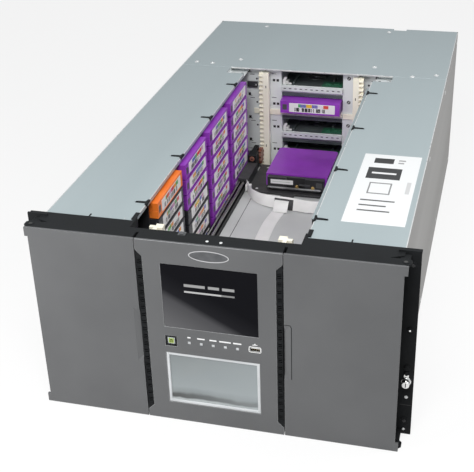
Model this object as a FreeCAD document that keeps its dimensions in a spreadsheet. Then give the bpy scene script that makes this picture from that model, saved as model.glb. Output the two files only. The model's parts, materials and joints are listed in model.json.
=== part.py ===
import FreeCAD, Part
import math
import os
import re

import Sketcher

# Six-unit rack module of a tape library, open at the top.
# Drawn in millimetres from the front of the doors: x to the right, y to the rear, z up.
# Each finished piece is then moved back so that the origin is below the middle of the module.

DIMENSIONS = {
    # Casing
    "overall_depth": 868.0,
    "body_width": 446.0,
    "body_height": 257.2,
    "sheet": 1.2,
    "body_front": 46.7,
    "seam_gap": 0.3,
    "opening_half": 107.5,
    "opening_flange": 6.0,
    "cover_seam": 612.0,
    "corner_notch_reach": 137.0,
    "corner_notch_front": 585.0,
    "hook_slot_first": 99.5,
    "hook_slot_pitch": 143.5,
    "hook_slot_width": 4.0,
    "hook_slot_reach": 16.0,
    "cover_notch_left": 107.0,
    "cover_notch_right": 130.0,
    "cover_notch_depth": 8.0,
    "rear_inset": 13.0,
    "rear_plate": 1.5,
    # Front frame and rack ears
    "rack_width": 482.6,
    "frame_front": 20.0,
    "frame_low": 1.2,
    "frame_rise": 2.3,
    "frame_middle_back": 30.0,
    "bay_inner": 108.0,
    "bay_side": 8.0,
    "bay_low": 9.0,
    "bay_head": 6.2,
    "middle_half": 76.0,
    "slant_wide": 18.0,
    "slant_deep": 8.0,
    "ear_front": 36.0,
    "ear_plate": 3.0,
    "ear_low": 0.5,
    "ear_rise": 4.8,
    "ear_cap": 3.0,
    "rack_hole_inset": 8.75,
    "rack_hole_low": 21.4,
    "rack_hole_head": 18.35,
    "rack_hole_radius": 3.5,
    # Doors and hinges
    "front_low": 1.0,
    "front_rise": 4.3,
    "front_skin": 3.0,
    "front_back": 18.0,
    "door_inner": 90.0,
    "door_reach": 7.0,
    "door_step": 4.0,
    "door_lug": 12.0,
    "grip_low": 86.0,
    "grip_high": 165.0,
    "grip_width": 7.5,
    "grip_depth": 2.2,
    "grip_slant": 9.0,
    "hinge_reach": 3.0,
    "hinge_back": 12.0,
    "pin_radius": 2.5,
    "pin_play": 0.05,
    "pin_reach": 1.6,
    "tab_reach": 6.5,
    "tab_bevel": 3.0,
    "tab_root": 4.0,
    "tab_back": 34.0,
    "tab_height": 4.5,
    "tab_gap": 0.5,
    "lug_half": 7.0,
    "lug_bevel": 3.5,
    "shank_side": 4.0,
    "liner_wall": 2.6,
    "liner_inset": 0.3,
    "liner_side": 2.0,
    "liner_short": 9.0,
    "liner_ribs": 3,
    # Centre fascia and what sits in it
    "fascia_half": 89.0,
    "housing_half": 88.5,
    "vent_inner": 81.0,
    "vent_low": 12.0,
    "vent_head": 14.5,
    "vent_bevel": 8.0,
    "vent_fit": 0.2,
    "vent_recess": 0.5,
    "vent_slots": 20,
    "vent_slot_long": 5.2,
    "vent_slot_high": 6.4,
    "vent_duct": 5.0,
    "screen_half": 59.0,
    "screen_low": 143.0,
    "screen_high": 232.0,
    "insert_fit": 0.3,
    "insert_recess": 0.5,
    "insert_flange": 3.0,
    "screen_depth": 9.0,
    "window_half": 59.7,
    "window_low": 28.7,
    "window_high": 105.0,
    "window_lip": 3.4,
    "window_taper": 6.0,
    "window_depth": 14.0,
    "pane_thickness": 2.5,
    "pane_overlap": 2.0,
    "button_x": -51.8,
    "button_z": 122.5,
    "bezel_side": 15.0,
    "bezel_fit": 0.2,
    "bezel_recess": 0.4,
    "button_side": 9.2,
    "button_fit": 0.3,
    "button_recess": 0.8,
    "button_length": 15.2,
    "light_first": -28.5,
    "light_pitch": 15.2,
    "light_count": 5,
    "light_z": 123.0,
    "light_side": 3.0,
    "light_fit": 0.1,
    "light_recess": 0.3,
    "light_length": 9.0,
    "port_x": 54.2,
    "port_z": 125.0,
    "port_wide": 12.4,
    "port_high": 5.2,
    "port_wall": 0.8,
    "port_fit": 0.2,
    "port_recess": 0.6,
    "port_depth": 13.0,
    # Cartridges and magazines
    "tape_wide": 102.0,
    "tape_long": 105.4,
    "tape_high": 21.5,
    "tape_bevel": 4.0,
    "shaft_half": 100.0,
    "slot_low": 12.25,
    "slot_pitch": 23.8,
    "column_first": 116.0,
    "column_pitch": 117.5,
    "column_count": 4,
    "mixed_purple_rows": 3,
    "shelf_gap": 0.4,
    "magazine_wall": 2.5,
    "magazine_face": 112.0,
    "magazine_side_gap": 0.5,
    "magazine_front": 44.0,
    "magazine_plate": 4.0,
    "bay_clearance": 1.0,
    "pull_reach": 22.0,
    "pull_bar": 5.0,
    "pull_high": 80.0,
    "pull_wide": 12.0,
    "rail_wide": 10.0,
    "rail_inner": 116.0,
    "rail_outer": 194.0,
    "rail_back": 573.0,
    # Drives and what is behind the bulkhead
    "bulkhead": 626.0,
    "bulkhead_plate": 1.5,
    "drive_window_half": 53.0,
    "drive_window_low": 8.0,
    "drive_window_head": 5.2,
    "drive_pitch": 42.3,
    "drive_lowest": 25.5,
    "drive_drop": 24.0,
    "drive_half": 78.0,
    "drive_high": 42.0,
    "mouth_half": 52.5,
    "mouth_high": 23.0,
    "mouth_depth": 112.0,
    "sled_plate": 2.5,
    "sled_flange": 1.5,
    "sled_handle_reach": 8.0,
    "sled_handle_bar": 4.0,
    "sled_handle_half": 30.0,
    "loaded_drive": 4,
    "loaded_reach": 20.0,
    "strip_hole_x": 66.0,
    "strip_hole_side": 4.5,
    "strip_hole_step": 6.5,
    "strip_hole_drop": 4.0,
    "supply_inner": 96.0,
    "supply_side": 7.8,
    "supply_setback": 62.5,
    "socket_room": 17.0,
    "supply_high": 84.0,
    "controller_high": 150.0,
    "inlet_x": 180.0,
    "inlet_wide": 27.0,
    "inlet_high": 19.6,
    "socket_wall": 1.6,
    "socket_fit": 0.2,
    "socket_floor": 2.5,
    "socket_proud": 1.0,
    "network_x": 120.0,
    "network_z": 40.0,
    "network_wide": 14.0,
    "network_high": 11.0,
    "network_pitch": 22.0,
    "vent_row_low": 180.0,
    "vent_row_pitch": 9.0,
    "vent_row_count": 4,
    "vent_row_high": 4.0,
    "vent_row_inner": 110.0,
    "vent_row_outer": 160.0,
    "vent_row_long": 40.0,
    # Lift racks and pinions
    "rack_inner": 72.0,
    "rack_outer": 89.0,
    "tooth_inner": 82.0,
    "rack_low": 4.0,
    "rack_head": 7.2,
    "rack_plate": 5.0,
    "rack_web": 5.0,
    "gear_module": 2.5,
    "pinion_teeth": 10,
    "tooth_addendum": 0.8,
    "tooth_dedendum": 1.1,
    "tooth_backlash": 0.35,
    "pressure_angle": 20.0,
    "rear_pitch_line": 612.0,
    "front_pitch_line": 60.0,
    "pinion_side_gap": 0.5,
    "pinion_inset": 1.0,
    "axle_radius": 3.0,
    "clip_low": 172.0,
    "clip_high": 181.0,
    "clip_inner": 54.0,
    "clip_outer": 101.0,
    "clip_plate": 3.0,
    # Robot
    "pick_level": 98.25,
    "pivot_y": 546.5,
    "pick_ahead": 4.5,
    "base_plate": 1.2,
    "carriage_lift": 1.5,
    "carriage_plate": 2.2,
    "swivel_gap": 0.4,
    "turntable_plate": 2.0,
    "tray_plate": 2.9,
    "robot_half": 98.5,
    "base_front": 90.0,
    "base_back": 582.0,
    "beam_floor": 1.5,
    "beam_wall": 1.3,
    "beam_inner": 84.2,
    "beam_high": 8.75,
    "rail_top": 8.75,
    "rail_inner_edge": 85.0,
    "rod_radius": 2.5,
    "rod_first": 88.0,
    "rod_second": 94.5,
    "rod_rise": 13.75,
    "rod_seat": 14.0,
    "block_long": 21.0,
    "block_inner": 84.0,
    "block_high": 30.5,
    "cheek_inner": 90.5,
    "cheek_high": 28.0,
    "cheek_reach": 30.0,
    "pinion_rise": 14.25,
    "motor_half": 11.0,
    "motor_bevel": 4.0,
    "motor_long": 34.0,
    "pulley_x": 90.5,
    "pulley_front": 124.0,
    "pulley_back": 548.0,
    "pulley_radius": 5.0,
    "pulley_post": 2.0,
    "belt_gap": 0.3,
    "belt_thick": 0.8,
    "belt_high": 5.0,
    "belt_rise": 1.0,
    "carriage_front": 480.0,
    "carriage_back": 586.0,
    "carriage_corner": 14.0,
    "carriage_half": 80.0,
    "web_outer": 83.6,
    "slider_front": 492.0,
    "slider_back": 556.0,
    "slider_gap": 0.5,
    "slider_high": 10.0,
    "turntable_radius": 24.0,
    "hub_radius": 6.0,
    "hub_gap": 0.15,
    "tray_half": 49.0,
    "tray_front": 57.5,
    "tray_back": 50.0,
    "tray_corner": 10.0,
    "guide_inner": 51.5,
    "guide_wall": 2.0,
    "guide_front": 36.0,
    "guide_back": 34.0,
    "guide_high": 12.0,
    "gripper_half": 47.0,
    "gripper_front": 57.5,
    "gripper_back": 48.6,
    "gripper_high": 19.5,
    "gripper_notch_half": 16.0,
    "gripper_notch_deep": 4.0,
    "clamp_left": -22.0,
    "clamp_right": 0.0,
    "clamp_front": 434.0,
    "clamp_deep": 8.0,
    "clamp_high": 11.0,
    "ribbon_thick": 0.5,
    "ribbon_low": 1.2,
    "ribbon_high": 13.0,
    "ribbon_end": 82.5,
    "ribbon_stretches": 12,
    "ribbon_middle": 430.5,
    "trail_half": 9.0,
    "trail_front": 112.0,
    "trail_thick": 0.4,
}

# Places and counts that follow from the table, so that a changed size moves what belongs to it
DERIVED = {
    "rear_face": "overall_depth - rear_inset",
    "frame_high": "body_height + frame_rise",
    "ear_high": "body_height + ear_rise",
    "front_high": "body_height + front_rise",
    "bay_high": "body_height - bay_head",
    "bay_outer": "body_width / 2 - bay_side",
    "slant_start": "body_width / 2 - slant_wide",
    "rack_hole_x": "rack_width / 2 - rack_hole_inset",
    "rack_hole_high": "ear_high - rack_hole_head",
    "door_outer": "body_width / 2 + door_reach",
    "hinge_out": "body_width / 2 + hinge_reach",
    "tab_inner": "body_width / 2 - tab_root",
    "liner_end": "body_width / 2 - liner_short",
    "vent_high": "front_high - vent_head",
    "slot_rows": "floor((bay_high - slot_low) / slot_pitch)",
    "drive_window_high": "body_height - drive_window_head",
    "drive_count": "floor((body_height - sheet - drive_lowest + drive_drop) / drive_pitch)",
    "supply_outer": "body_width / 2 - sheet - supply_side",
    "supply_front": "bulkhead + bulkhead_plate + supply_setback",
    "supply_back": "rear_face - socket_room",
    "rack_high": "body_height - rack_head",
    "pinion_inner": "tooth_inner + pinion_side_gap",
    "pinion_outer": "rack_outer - pinion_inset",
}

WORD = re.compile(r"[a-z][a-z0-9_]*")
ALONG = {
    "x": FreeCAD.Rotation(FreeCAD.Vector(0, 1, 0), 90),
    "y": FreeCAD.Rotation(FreeCAD.Vector(1, 0, 0), -90),
    "z": FreeCAD.Rotation(),
}

# Formulas that many pieces share, written with the names above
BODY_HALF = "body_width / 2"
INSIDE_HALF = "(body_width / 2 - sheet)"
RACK_HALF = "rack_width / 2"
PICKER_STACK = "(tray_plate + turntable_plate + swivel_gap + carriage_plate + carriage_lift)"
ROBOT_FLOOR = "(pick_level - %s - base_plate)" % PICKER_STACK
ROBOT_DECK = "(pick_level - tray_plate - turntable_plate - swivel_gap - carriage_plate - carriage_lift)"
CARRIAGE_DECK = "(pick_level - tray_plate - turntable_plate - swivel_gap)"
REAR_AXLE = "(rear_pitch_line - gear_module * pinion_teeth / 2)"
FRONT_AXLE = "(front_pitch_line + gear_module * pinion_teeth / 2)"

doc = FreeCAD.newDocument("tape_library_module")
sheet = doc.addObject("Spreadsheet::Sheet", "dims")
CELLS = {alias: str(number) for alias, number in DIMENSIONS.items()}
CELLS.update({alias: "=" + text for alias, text in DERIVED.items()})
for row, (alias, content) in enumerate(CELLS.items(), start=1):
    sheet.set("A%d" % row, alias)
    sheet.set("B%d" % row, content)
    sheet.setAlias("B%d" % row, alias)
doc.recompute()


def formula(text):
    """The formula with each name of the table written out in full."""
    return WORD.sub(lambda word: "dims." + word.group() if word.group() in CELLS else word.group(), text)


def value(text):
    """The number that a formula gives now."""
    return float(sheet.evalExpression(formula(text)))


def count(name):
    """A whole number from the table."""
    return int(round(value(name)))


def bind(item, target, text):
    item.setExpression(target, formula(text))


def box(x, y, z):
    """Block between two corners, each side given as (low, high)."""
    item = doc.addObject("Part::Box", "block")
    for side, axis, (low, high) in (("Length", "x", x), ("Width", "y", y), ("Height", "z", z)):
        bind(item, side, "(%s) - (%s)" % (high, low))
        bind(item, "Placement.Base." + axis, low)
    return item


def rod(axis, radius, centre, span):
    """Round bar along an axis; centre gives the two other coordinates in x, y, z order."""
    item = doc.addObject("Part::Cylinder", "bar")
    item.Placement.Rotation = ALONG[axis]
    bind(item, "Radius", radius)
    bind(item, "Height", "(%s) - (%s)" % (span[1], span[0]))
    places = dict(zip([name for name in "xyz" if name != axis], centre))
    places[axis] = span[0]
    for name, text in places.items():
        bind(item, "Placement.Base." + name, text)
    return item


def fuse(*parts):
    if len(parts) == 1:
        return parts[0]
    item = doc.addObject("Part::MultiFuse", "joined")
    item.Shapes = list(parts)
    item.Refine = True
    return item


def cut(base, *tools):
    item = doc.addObject("Part::Cut", "cut")
    item.Base = base
    item.Tool = fuse(*tools)
    item.Refine = True
    return item


def group(*parts):
    item = doc.addObject("Part::Compound", "set")
    item.Links = list(parts)
    return item


def mirrored(item):
    """The same piece on the other side of the middle plane."""
    twin = doc.addObject("Part::Mirroring", "twin")
    twin.Source = item
    twin.Normal = FreeCAD.Vector(1, 0, 0)
    return twin


def both_sides(item):
    return group(item, mirrored(item))


def placed(item, x, y, z, turn=0.0):
    """A copy of a piece, turned about the vertical and moved."""
    copy = group(item)
    copy.Placement.Rotation = FreeCAD.Rotation(FreeCAD.Vector(0, 0, 1), turn)
    for axis, text in (("x", x), ("y", y), ("z", z)):
        bind(copy, "Placement.Base." + axis, text)
    return copy


def fix_point(sketch, line, axis, text):
    """Hold the start of a line at its distance from the sketch's origin."""
    if text == "0":
        sketch.addConstraint(Sketcher.Constraint("PointOnObject", line, 1, -2 if axis == "DistanceX" else -1))
        return
    number = sketch.addConstraint(Sketcher.Constraint(axis, -1, 1, line, 1, value(text)))
    bind(sketch, "Constraints[%d]" % number, text)


def outline(body, plane, loops):
    """Sketch of closed loops of straight lines; each loop is a list of (u, v) corners."""
    support = next(item for item in body.Origin.OriginFeatures if item.Role == plane)
    sketch = body.newObject("Sketcher::SketchObject", "outline")
    sketch.AttachmentSupport = [(support, "")]
    sketch.MapMode = "FlatFace"
    for corners in loops:
        points = [FreeCAD.Vector(value(u), value(v), 0) for u, v in corners]
        first = sketch.GeometryCount
        number = len(points)
        for index in range(number):
            sketch.addGeometry(Part.LineSegment(points[index], points[(index + 1) % number]))
        for index in range(number):
            following = first + (index + 1) % number
            sketch.addConstraint(Sketcher.Constraint("Coincident", first + index, 2, following, 1))
        for index, (u, v) in enumerate(corners):
            fix_point(sketch, first + index, "DistanceX", u)
            fix_point(sketch, first + index, "DistanceY", v)
    return sketch


def pad(body, sketch, plane, low, high):
    """Run a sketch from low to high along x, y or z."""
    backwards = plane == "XZ_Plane"
    bind(sketch, "AttachmentOffset.Base.z", "-(%s)" % low if backwards else low)
    feature = body.newObject("PartDesign::Pad", "pad")
    feature.Profile = sketch
    feature.Reversed = backwards
    bind(feature, "Length", "(%s) - (%s)" % (high, low))
    return feature


def profile(plane, loops, low, high):
    """Plate or bar with the outline that the loops give."""
    body = doc.addObject("PartDesign::Body", "profile")
    pad(body, outline(body, plane, loops), plane, low, high)
    return body


def rectangle(left, right, low, high):
    return [(left, low), (right, low), (right, high), (left, high)]


def square(u, v, side):
    half = "(%s) / 2" % side
    left, right = u + " - " + half, u + " + " + half
    low, high = v + " - " + half, v + " + " + half
    return rectangle(left, right, low, high)


PIECES = {}


def piece(name, item):
    """Name a finished piece and move it from the front to the module's own origin."""
    holder = doc.addObject("Part::Compound", name)
    holder.Label = name
    holder.Links = [item]
    bind(holder, "Placement.Base.y", "-overall_depth / 2")
    PIECES[name] = holder


# Casing of folded sheet


def base_pan():
    return box(("-" + INSIDE_HALF, INSIDE_HALF), ("body_front", "overall_depth"), ("0", "sheet"))


def side_panel():
    return box((INSIDE_HALF, BODY_HALF), ("body_front", "overall_depth"), ("0", "body_height"))


def hook_slot(number):
    """Slit from the edge of the opening into a top panel."""
    middle = "hook_slot_first + %d * hook_slot_pitch" % number
    return box(
        ("opening_half - sheet", "opening_half + hook_slot_reach"),
        (middle + " - hook_slot_width / 2", middle + " + hook_slot_width / 2"),
        ("body_height - opening_flange - sheet", "body_height + sheet"),
    )


def top_panel():
    """Strip beside the opening, with its inner edge folded down and a notch at the rear corner."""
    corners = [
        ("opening_half", "body_front"),
        (INSIDE_HALF, "body_front"),
        (INSIDE_HALF, "cover_seam"),
        ("corner_notch_reach", "cover_seam"),
        ("corner_notch_reach", "corner_notch_front"),
        ("opening_half", "corner_notch_front"),
    ]
    plate = profile("XY_Plane", [corners], "body_height - sheet", "body_height")
    flange = box(
        ("opening_half", "opening_half + sheet"),
        ("body_front", "corner_notch_front"),
        ("body_height - opening_flange", "body_height - sheet"),
    )
    slots = [hook_slot(number) for number in range(4)]
    return cut(fuse(plate, flange), *slots)


def rear_top_cover():
    front = "cover_seam + seam_gap"
    corners = [
        ("-" + INSIDE_HALF, front),
        (INSIDE_HALF, front),
        (INSIDE_HALF, "overall_depth"),
        ("cover_notch_right", "overall_depth"),
        ("cover_notch_right", "overall_depth - cover_notch_depth"),
        ("cover_notch_left", "overall_depth - cover_notch_depth"),
        ("cover_notch_left", "overall_depth"),
        ("-" + INSIDE_HALF, "overall_depth"),
    ]
    return profile("XY_Plane", [corners], "body_height - sheet", "body_height")


def drive_level(number):
    """Height of the middle of a drive's mouth, counted from the lowest drive."""
    return "(drive_lowest + %d * drive_pitch)" % number


def strip_holes():
    """Pairs of square holes in the strip to the left of each drive mouth."""
    holes = []
    for number in range(count("drive_count")):
        for step in (0, 1):
            across = "-strip_hole_x + %d * strip_hole_step" % step
            up = drive_level(number) + " - strip_hole_drop"
            holes.append(square(across, up, "strip_hole_side"))
    return holes


def drive_bulkhead():
    """Upright plate in front of the drives, with one tall window for their mouths."""
    outer = rectangle("-" + INSIDE_HALF, INSIDE_HALF, "sheet", "body_height - sheet")
    window = rectangle("-drive_window_half", "drive_window_half", "drive_window_low", "drive_window_high")
    loops = [outer, window] + strip_holes()
    return profile("XZ_Plane", loops, "bulkhead", "bulkhead + bulkhead_plate")


def socket_loop(across, up, wide, high):
    half = "(%s / 2 + socket_wall + socket_fit)" % wide
    tall = "(%s / 2 + socket_wall + socket_fit)" % high
    return rectangle(
        "%s - %s" % (across, half), "%s + %s" % (across, half), "%s - %s" % (up, tall), "%s + %s" % (up, tall)
    )


def inlet_level(number):
    """Height of a power inlet, in the middle of its supply."""
    return "(sheet + supply_high * (%d + 0.5))" % number


def network_place(number):
    return "(network_x + %d * network_pitch)" % number


def rear_panel():
    """Back plates on both sides of the drive sleds, with sockets below and air slots above."""
    inner = "(drive_half + sled_flange + seam_gap)"
    plates = []
    for side in ("-", ""):
        edges = sorted((side + inner, side + INSIDE_HALF), key=value)
        loops = [rectangle(*edges, "sheet", "body_height - sheet")]
        for start in ("vent_row_inner", "vent_row_outer"):
            slot = sorted((side + start, "%s(%s + vent_row_long)" % (side, start)), key=value)
            for number in range(count("vent_row_count")):
                low = "vent_row_low + %d * vent_row_pitch" % number
                loops.append(rectangle(*slot, low, low + " + vent_row_high"))
        for number in (0, 1):
            if side:
                loops.append(socket_loop("-inlet_x", inlet_level(number), "inlet_wide", "inlet_high"))
            else:
                loops.append(socket_loop(network_place(number), "network_z", "network_wide", "network_high"))
        plates.append(profile("XZ_Plane", loops, "rear_face", "rear_face + rear_plate"))
    return group(*plates)


# Front frame, doors and hinges

LINER_LOW = "(front_low + liner_inset)"
LINER_HIGH = "(front_high - liner_inset)"
LOW_TAB = ("(front_low + liner_inset + liner_wall + tab_gap)",
           "(front_low + liner_inset + liner_wall + tab_gap + tab_height)")
HIGH_TAB = ("(front_high - liner_inset - liner_wall - tab_gap - tab_height)",
            "(front_high - liner_inset - liner_wall - tab_gap)")


def hinge_tab(span):
    """Flat arm of the frame that holds one hinge pin."""
    front = "hinge_back - tab_reach"
    corners = [
        ("tab_inner", "tab_back"),
        ("tab_inner", front + " + tab_bevel"),
        ("tab_inner + tab_bevel", front),
        ("door_outer - tab_bevel", front),
        ("door_outer", front + " + tab_bevel"),
        ("door_outer", "tab_back"),
    ]
    seat = square("hinge_out", "hinge_back", "shank_side")
    return profile("XY_Plane", [corners, seat], *span)


def rack_ear():
    """Mounting flange with a cap at its top, drilled for the rack."""
    across = ("bay_outer", RACK_HALF)
    plate = box(across, ("ear_front", "ear_front + ear_plate"), ("ear_low", "ear_high"))
    cap = box(across, ("ear_front", "body_front"), ("frame_high - ear_cap", "frame_high"))
    span = ("ear_front - ear_plate", "ear_front + 2 * ear_plate")
    levels = ("rack_hole_low", "rack_hole_high")
    holes = [rod("y", "rack_hole_radius", ("rack_hole_x", level), span) for level in levels]
    return cut(fuse(plate, cap), *holes)


def front_frame():
    """Ring round the magazine bays and the robot shaft, with slanted corners and both rack ears."""
    through = ("frame_front - sheet", "body_front + sheet")
    ring = box(("-" + BODY_HALF, BODY_HALF), ("frame_front", "body_front"), ("frame_low", "frame_high"))
    bay = box(("bay_inner", "bay_outer"), through, ("bay_low", "bay_high"))
    middle = box(("-middle_half", "middle_half"), through, ("bay_low", "bay_high"))
    step = box(
        ("-bay_inner", "bay_inner"), ("frame_middle_back", "body_front + sheet"), ("0", "frame_high + sheet")
    )
    corner = [
        ("slant_start", "frame_front"),
        (BODY_HALF, "frame_front"),
        (BODY_HALF, "frame_front + slant_deep"),
    ]
    slant = profile("XY_Plane", [corner], "0", "frame_high + sheet")
    ring = cut(ring, bay, mirrored(bay), middle, step, slant, mirrored(slant))
    right = fuse(rack_ear(), hinge_tab(LOW_TAB), hinge_tab(HIGH_TAB))
    return fuse(ring, right, mirrored(right))


def hinge_pin(journal, shank):
    """Pin whose square shank is fast in a tab and whose round journal carries the door."""
    round_end = rod("z", "pin_radius", ("hinge_out", "hinge_back"), journal)
    seat = square("hinge_out", "hinge_back", "shank_side")
    return fuse(round_end, profile("XY_Plane", [seat], *shank))


def hinge_pins():
    foot = LINER_LOW + " + liner_inset"
    head = LINER_HIGH + " - liner_inset"
    low = hinge_pin((foot, LOW_TAB[0]), (LOW_TAB[0], LOW_TAB[1] + " + pin_reach"))
    high = hinge_pin((HIGH_TAB[1], head), (HIGH_TAB[0] + " - pin_reach", HIGH_TAB[1]))
    return both_sides(group(low, high))


def hinge_lug(span):
    """End of a door's rim round its hinge pin, bevelled to swing clear of the tab."""
    low_x, high_x = "hinge_out - lug_half", "hinge_out + lug_half"
    low_y, high_y = "hinge_back - lug_half", "hinge_back + lug_half"
    corners = [
        (low_x, low_y),
        (high_x + " - lug_bevel", low_y),
        (high_x, low_y + " + lug_bevel"),
        (high_x, high_y + " - lug_bevel"),
        (high_x + " - lug_bevel", high_y),
        (low_x, high_y),
    ]
    return profile("XY_Plane", [corners], *span)


def door_panel():
    """Painted skin of the right door, with lugs at its outer corners and a bevelled finger grip."""
    edge = "door_outer - door_step"
    low_step = "front_low + door_lug"
    high_step = "front_high - door_lug"
    corners = [
        ("door_inner", "front_low"),
        ("door_outer", "front_low"),
        ("door_outer", low_step),
        (edge, low_step),
        (edge, high_step),
        ("door_outer", high_step),
        ("door_outer", "front_high"),
        ("door_inner", "front_high"),
    ]
    skin = profile("XZ_Plane", [corners], "0", "front_skin")
    return cut(skin, finger_grip())


def finger_grip():
    """Wedge cut from the inner edge, whose ends slant as the bevel does."""
    edge = doc.addObject("Part::Wedge", "grip")
    sizes = {
        "Xmin": "door_inner",
        "X2min": "door_inner",
        "Xmax": "door_inner + grip_width",
        "X2max": "door_inner + seam_gap / 10",
        "Ymin": "0",
        "Ymax": "grip_depth",
        "Zmin": "grip_low",
        "Z2min": "grip_low + grip_slant",
        "Zmax": "grip_high",
        "Z2max": "grip_high - grip_slant",
    }
    for name, text in sizes.items():
        bind(edge, name, text)
    return edge


def door_liner():
    """Black inner shell of the right door: back sheet, rim, ribs and the two hinge lugs."""
    inner = "door_inner + liner_side"
    deep = ("front_skin", "front_back")
    parts = [box((inner, "liner_end"), ("front_skin", "front_skin + liner_side"), (LINER_LOW, LINER_HIGH))]
    parts.append(box((inner, inner + " + liner_wall"), deep, (LINER_LOW, LINER_HIGH)))
    for span in ((LINER_LOW, LINER_LOW + " + liner_wall"), (LINER_HIGH + " - liner_wall", LINER_HIGH)):
        parts.append(box((inner, "hinge_out"), deep, span))
        parts.append(hinge_lug(span))
    ribs = count("liner_ribs")
    for number in range(1, ribs + 1):
        middle = "(front_low + (front_high - front_low) * %d / %d)" % (number, ribs + 1)
        span = (middle + " - liner_wall / 2", middle + " + liner_wall / 2")
        parts.append(box((inner, "liner_end"), ("front_skin", "front_back - liner_wall"), span))
    bore = rod("z", "pin_radius + pin_play", ("hinge_out", "hinge_back"), ("0", "front_high"))
    return cut(fuse(*parts), bore)


# Centre fascia and the inserts behind it


def vent_corners(side, fit):
    """Outline of a side vent, with its inner corners bevelled; fit draws it in all round."""
    inner = "%s(vent_inner + %s)" % (side, fit)
    outer = "%s(fascia_half - %s)" % (side, fit)
    return [
        (outer, "vent_low + " + fit),
        (inner, "vent_low + vent_bevel + " + fit),
        (inner, "vent_high - vent_bevel - " + fit),
        (outer, "vent_high - " + fit),
    ]


def light_places():
    return ["(light_first + %d * light_pitch)" % number for number in range(count("light_count"))]


def light_holes():
    return [square(across, "light_z", "(light_side + 2 * light_fit)") for across in light_places()]


def port_loop(grow):
    half = "(port_wide / 2 + %s)" % grow
    tall = "(port_high / 2 + %s)" % grow
    return rectangle("port_x - " + half, "port_x + " + half, "port_z - " + tall, "port_z + " + tall)


def centre_fascia():
    """Painted plate between the doors, cut out for screen, window, button, lights, port and vents."""
    right = [("fascia_half", "front_low")] + vent_corners("", "0 * sheet") + [("fascia_half", "front_high")]
    left = [("-" + u, v) for u, v in reversed(right)]
    loops = [
        right + left,
        rectangle("-screen_half", "screen_half", "screen_low", "screen_high"),
        rectangle("-window_half", "window_half", "window_low", "window_high"),
        square("button_x", "button_z", "bezel_side"),
        port_loop("port_wall + port_fit"),
    ]
    return profile("XZ_Plane", loops + light_holes(), "0", "front_skin")


def vent_grille():
    """Black strip that fills the right vent, pierced by a ladder of slots."""
    strip = profile("XZ_Plane", [vent_corners("", "vent_fit")], "vent_recess", "front_skin")
    number = count("vent_slots")
    middle_x = "(vent_inner + fascia_half) / 2"
    across = (middle_x + " - vent_slot_long / 2", middle_x + " + vent_slot_long / 2")
    slots = []
    for index in range(number):
        low = "(vent_low + 2 * vent_bevel)"
        middle = "%s + (vent_high - vent_low - 4 * vent_bevel) * %d / %d" % (low, index, number - 1)
        span = (middle + " - vent_slot_high / 2", middle + " + vent_slot_high / 2")
        slots.append(box(across, ("0", "2 * front_skin"), span))
    return cut(strip, *slots)


def centre_housing():
    """Black moulding behind the fascia that holds every insert and the button's bezel."""
    inset = "liner_inset"
    shell = rectangle("-housing_half", "housing_half", "front_low + " + inset, "front_high - " + inset)
    grow = "(insert_flange + insert_fit)"
    screen = rectangle(
        "-(screen_half + %s)" % grow, "screen_half + " + grow, "screen_low - " + grow, "screen_high + " + grow
    )
    window = rectangle(
        "-(window_half + %s)" % grow, "window_half + " + grow, "window_low - " + grow, "window_high + " + grow
    )
    low, high = "vent_low + 2 * vent_bevel", "vent_high - 2 * vent_bevel"
    duct = rectangle("vent_inner", "vent_inner + vent_duct", low, high)
    other_duct = [("-(%s)" % u, v) for u, v in reversed(duct)]
    loops = [shell, screen, window, duct, other_duct, port_loop("port_wall + port_fit")]
    loops.append(square("button_x", "button_z", "(button_side + 2 * button_fit)"))
    moulding = profile("XZ_Plane", loops + light_holes(), "front_skin", "frame_front")
    bezel_loops = [
        square("button_x", "button_z", "(bezel_side - 2 * bezel_fit)"),
        square("button_x", "button_z", "(button_side + 2 * button_fit)"),
    ]
    bezel = profile("XZ_Plane", bezel_loops, "bezel_recess", "front_skin")
    return fuse(moulding, bezel)


def touch_screen():
    """Flat display: the glass stands in the fascia, its flange behind it."""
    glass = box(
        ("-screen_half + insert_fit", "screen_half - insert_fit"),
        ("insert_recess", "screen_depth"),
        ("screen_low + insert_fit", "screen_high - insert_fit"),
    )
    flange = box(
        ("-screen_half - insert_flange", "screen_half + insert_flange"),
        ("front_skin", "screen_depth"),
        ("screen_low - insert_flange", "screen_high + insert_flange"),
    )
    return fuse(glass, flange)


def window_frame():
    """Pale surround of the window, whose walls taper inwards to the pane."""
    lip = box(
        ("-window_half + insert_fit", "window_half - insert_fit"),
        ("insert_recess", "window_depth"),
        ("window_low + insert_fit", "window_high - insert_fit"),
    )
    flange = box(
        ("-window_half - insert_flange", "window_half + insert_flange"),
        ("front_skin", "window_depth"),
        ("window_low - insert_flange", "window_high + insert_flange"),
    )
    funnel = doc.addObject("Part::Wedge", "funnel")
    near = "window_lip"
    far = "(window_lip + window_taper)"
    sizes = {
        "Xmin": "-window_half + " + near,
        "Xmax": "window_half - " + near,
        "X2min": "-window_half + " + far,
        "X2max": "window_half - " + far,
        "Ymin": "0",
        "Ymax": "window_depth + front_skin",
        "Zmin": "window_low + " + near,
        "Zmax": "window_high - " + near,
        "Z2min": "window_low + " + far,
        "Z2max": "window_high - " + far,
    }
    for name, text in sizes.items():
        bind(funnel, name, text)
    return cut(fuse(lip, flange), funnel)


def window_pane():
    reach = "(window_lip + window_taper - pane_overlap)"
    return box(
        ("-window_half + " + reach, "window_half - " + reach),
        ("window_depth", "window_depth + pane_thickness"),
        ("window_low + " + reach, "window_high - " + reach),
    )


def power_button():
    half = "button_side / 2"
    return box(
        ("button_x - " + half, "button_x + " + half),
        ("button_recess", "button_recess + button_length"),
        ("button_z - " + half, "button_z + " + half),
    )


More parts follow.
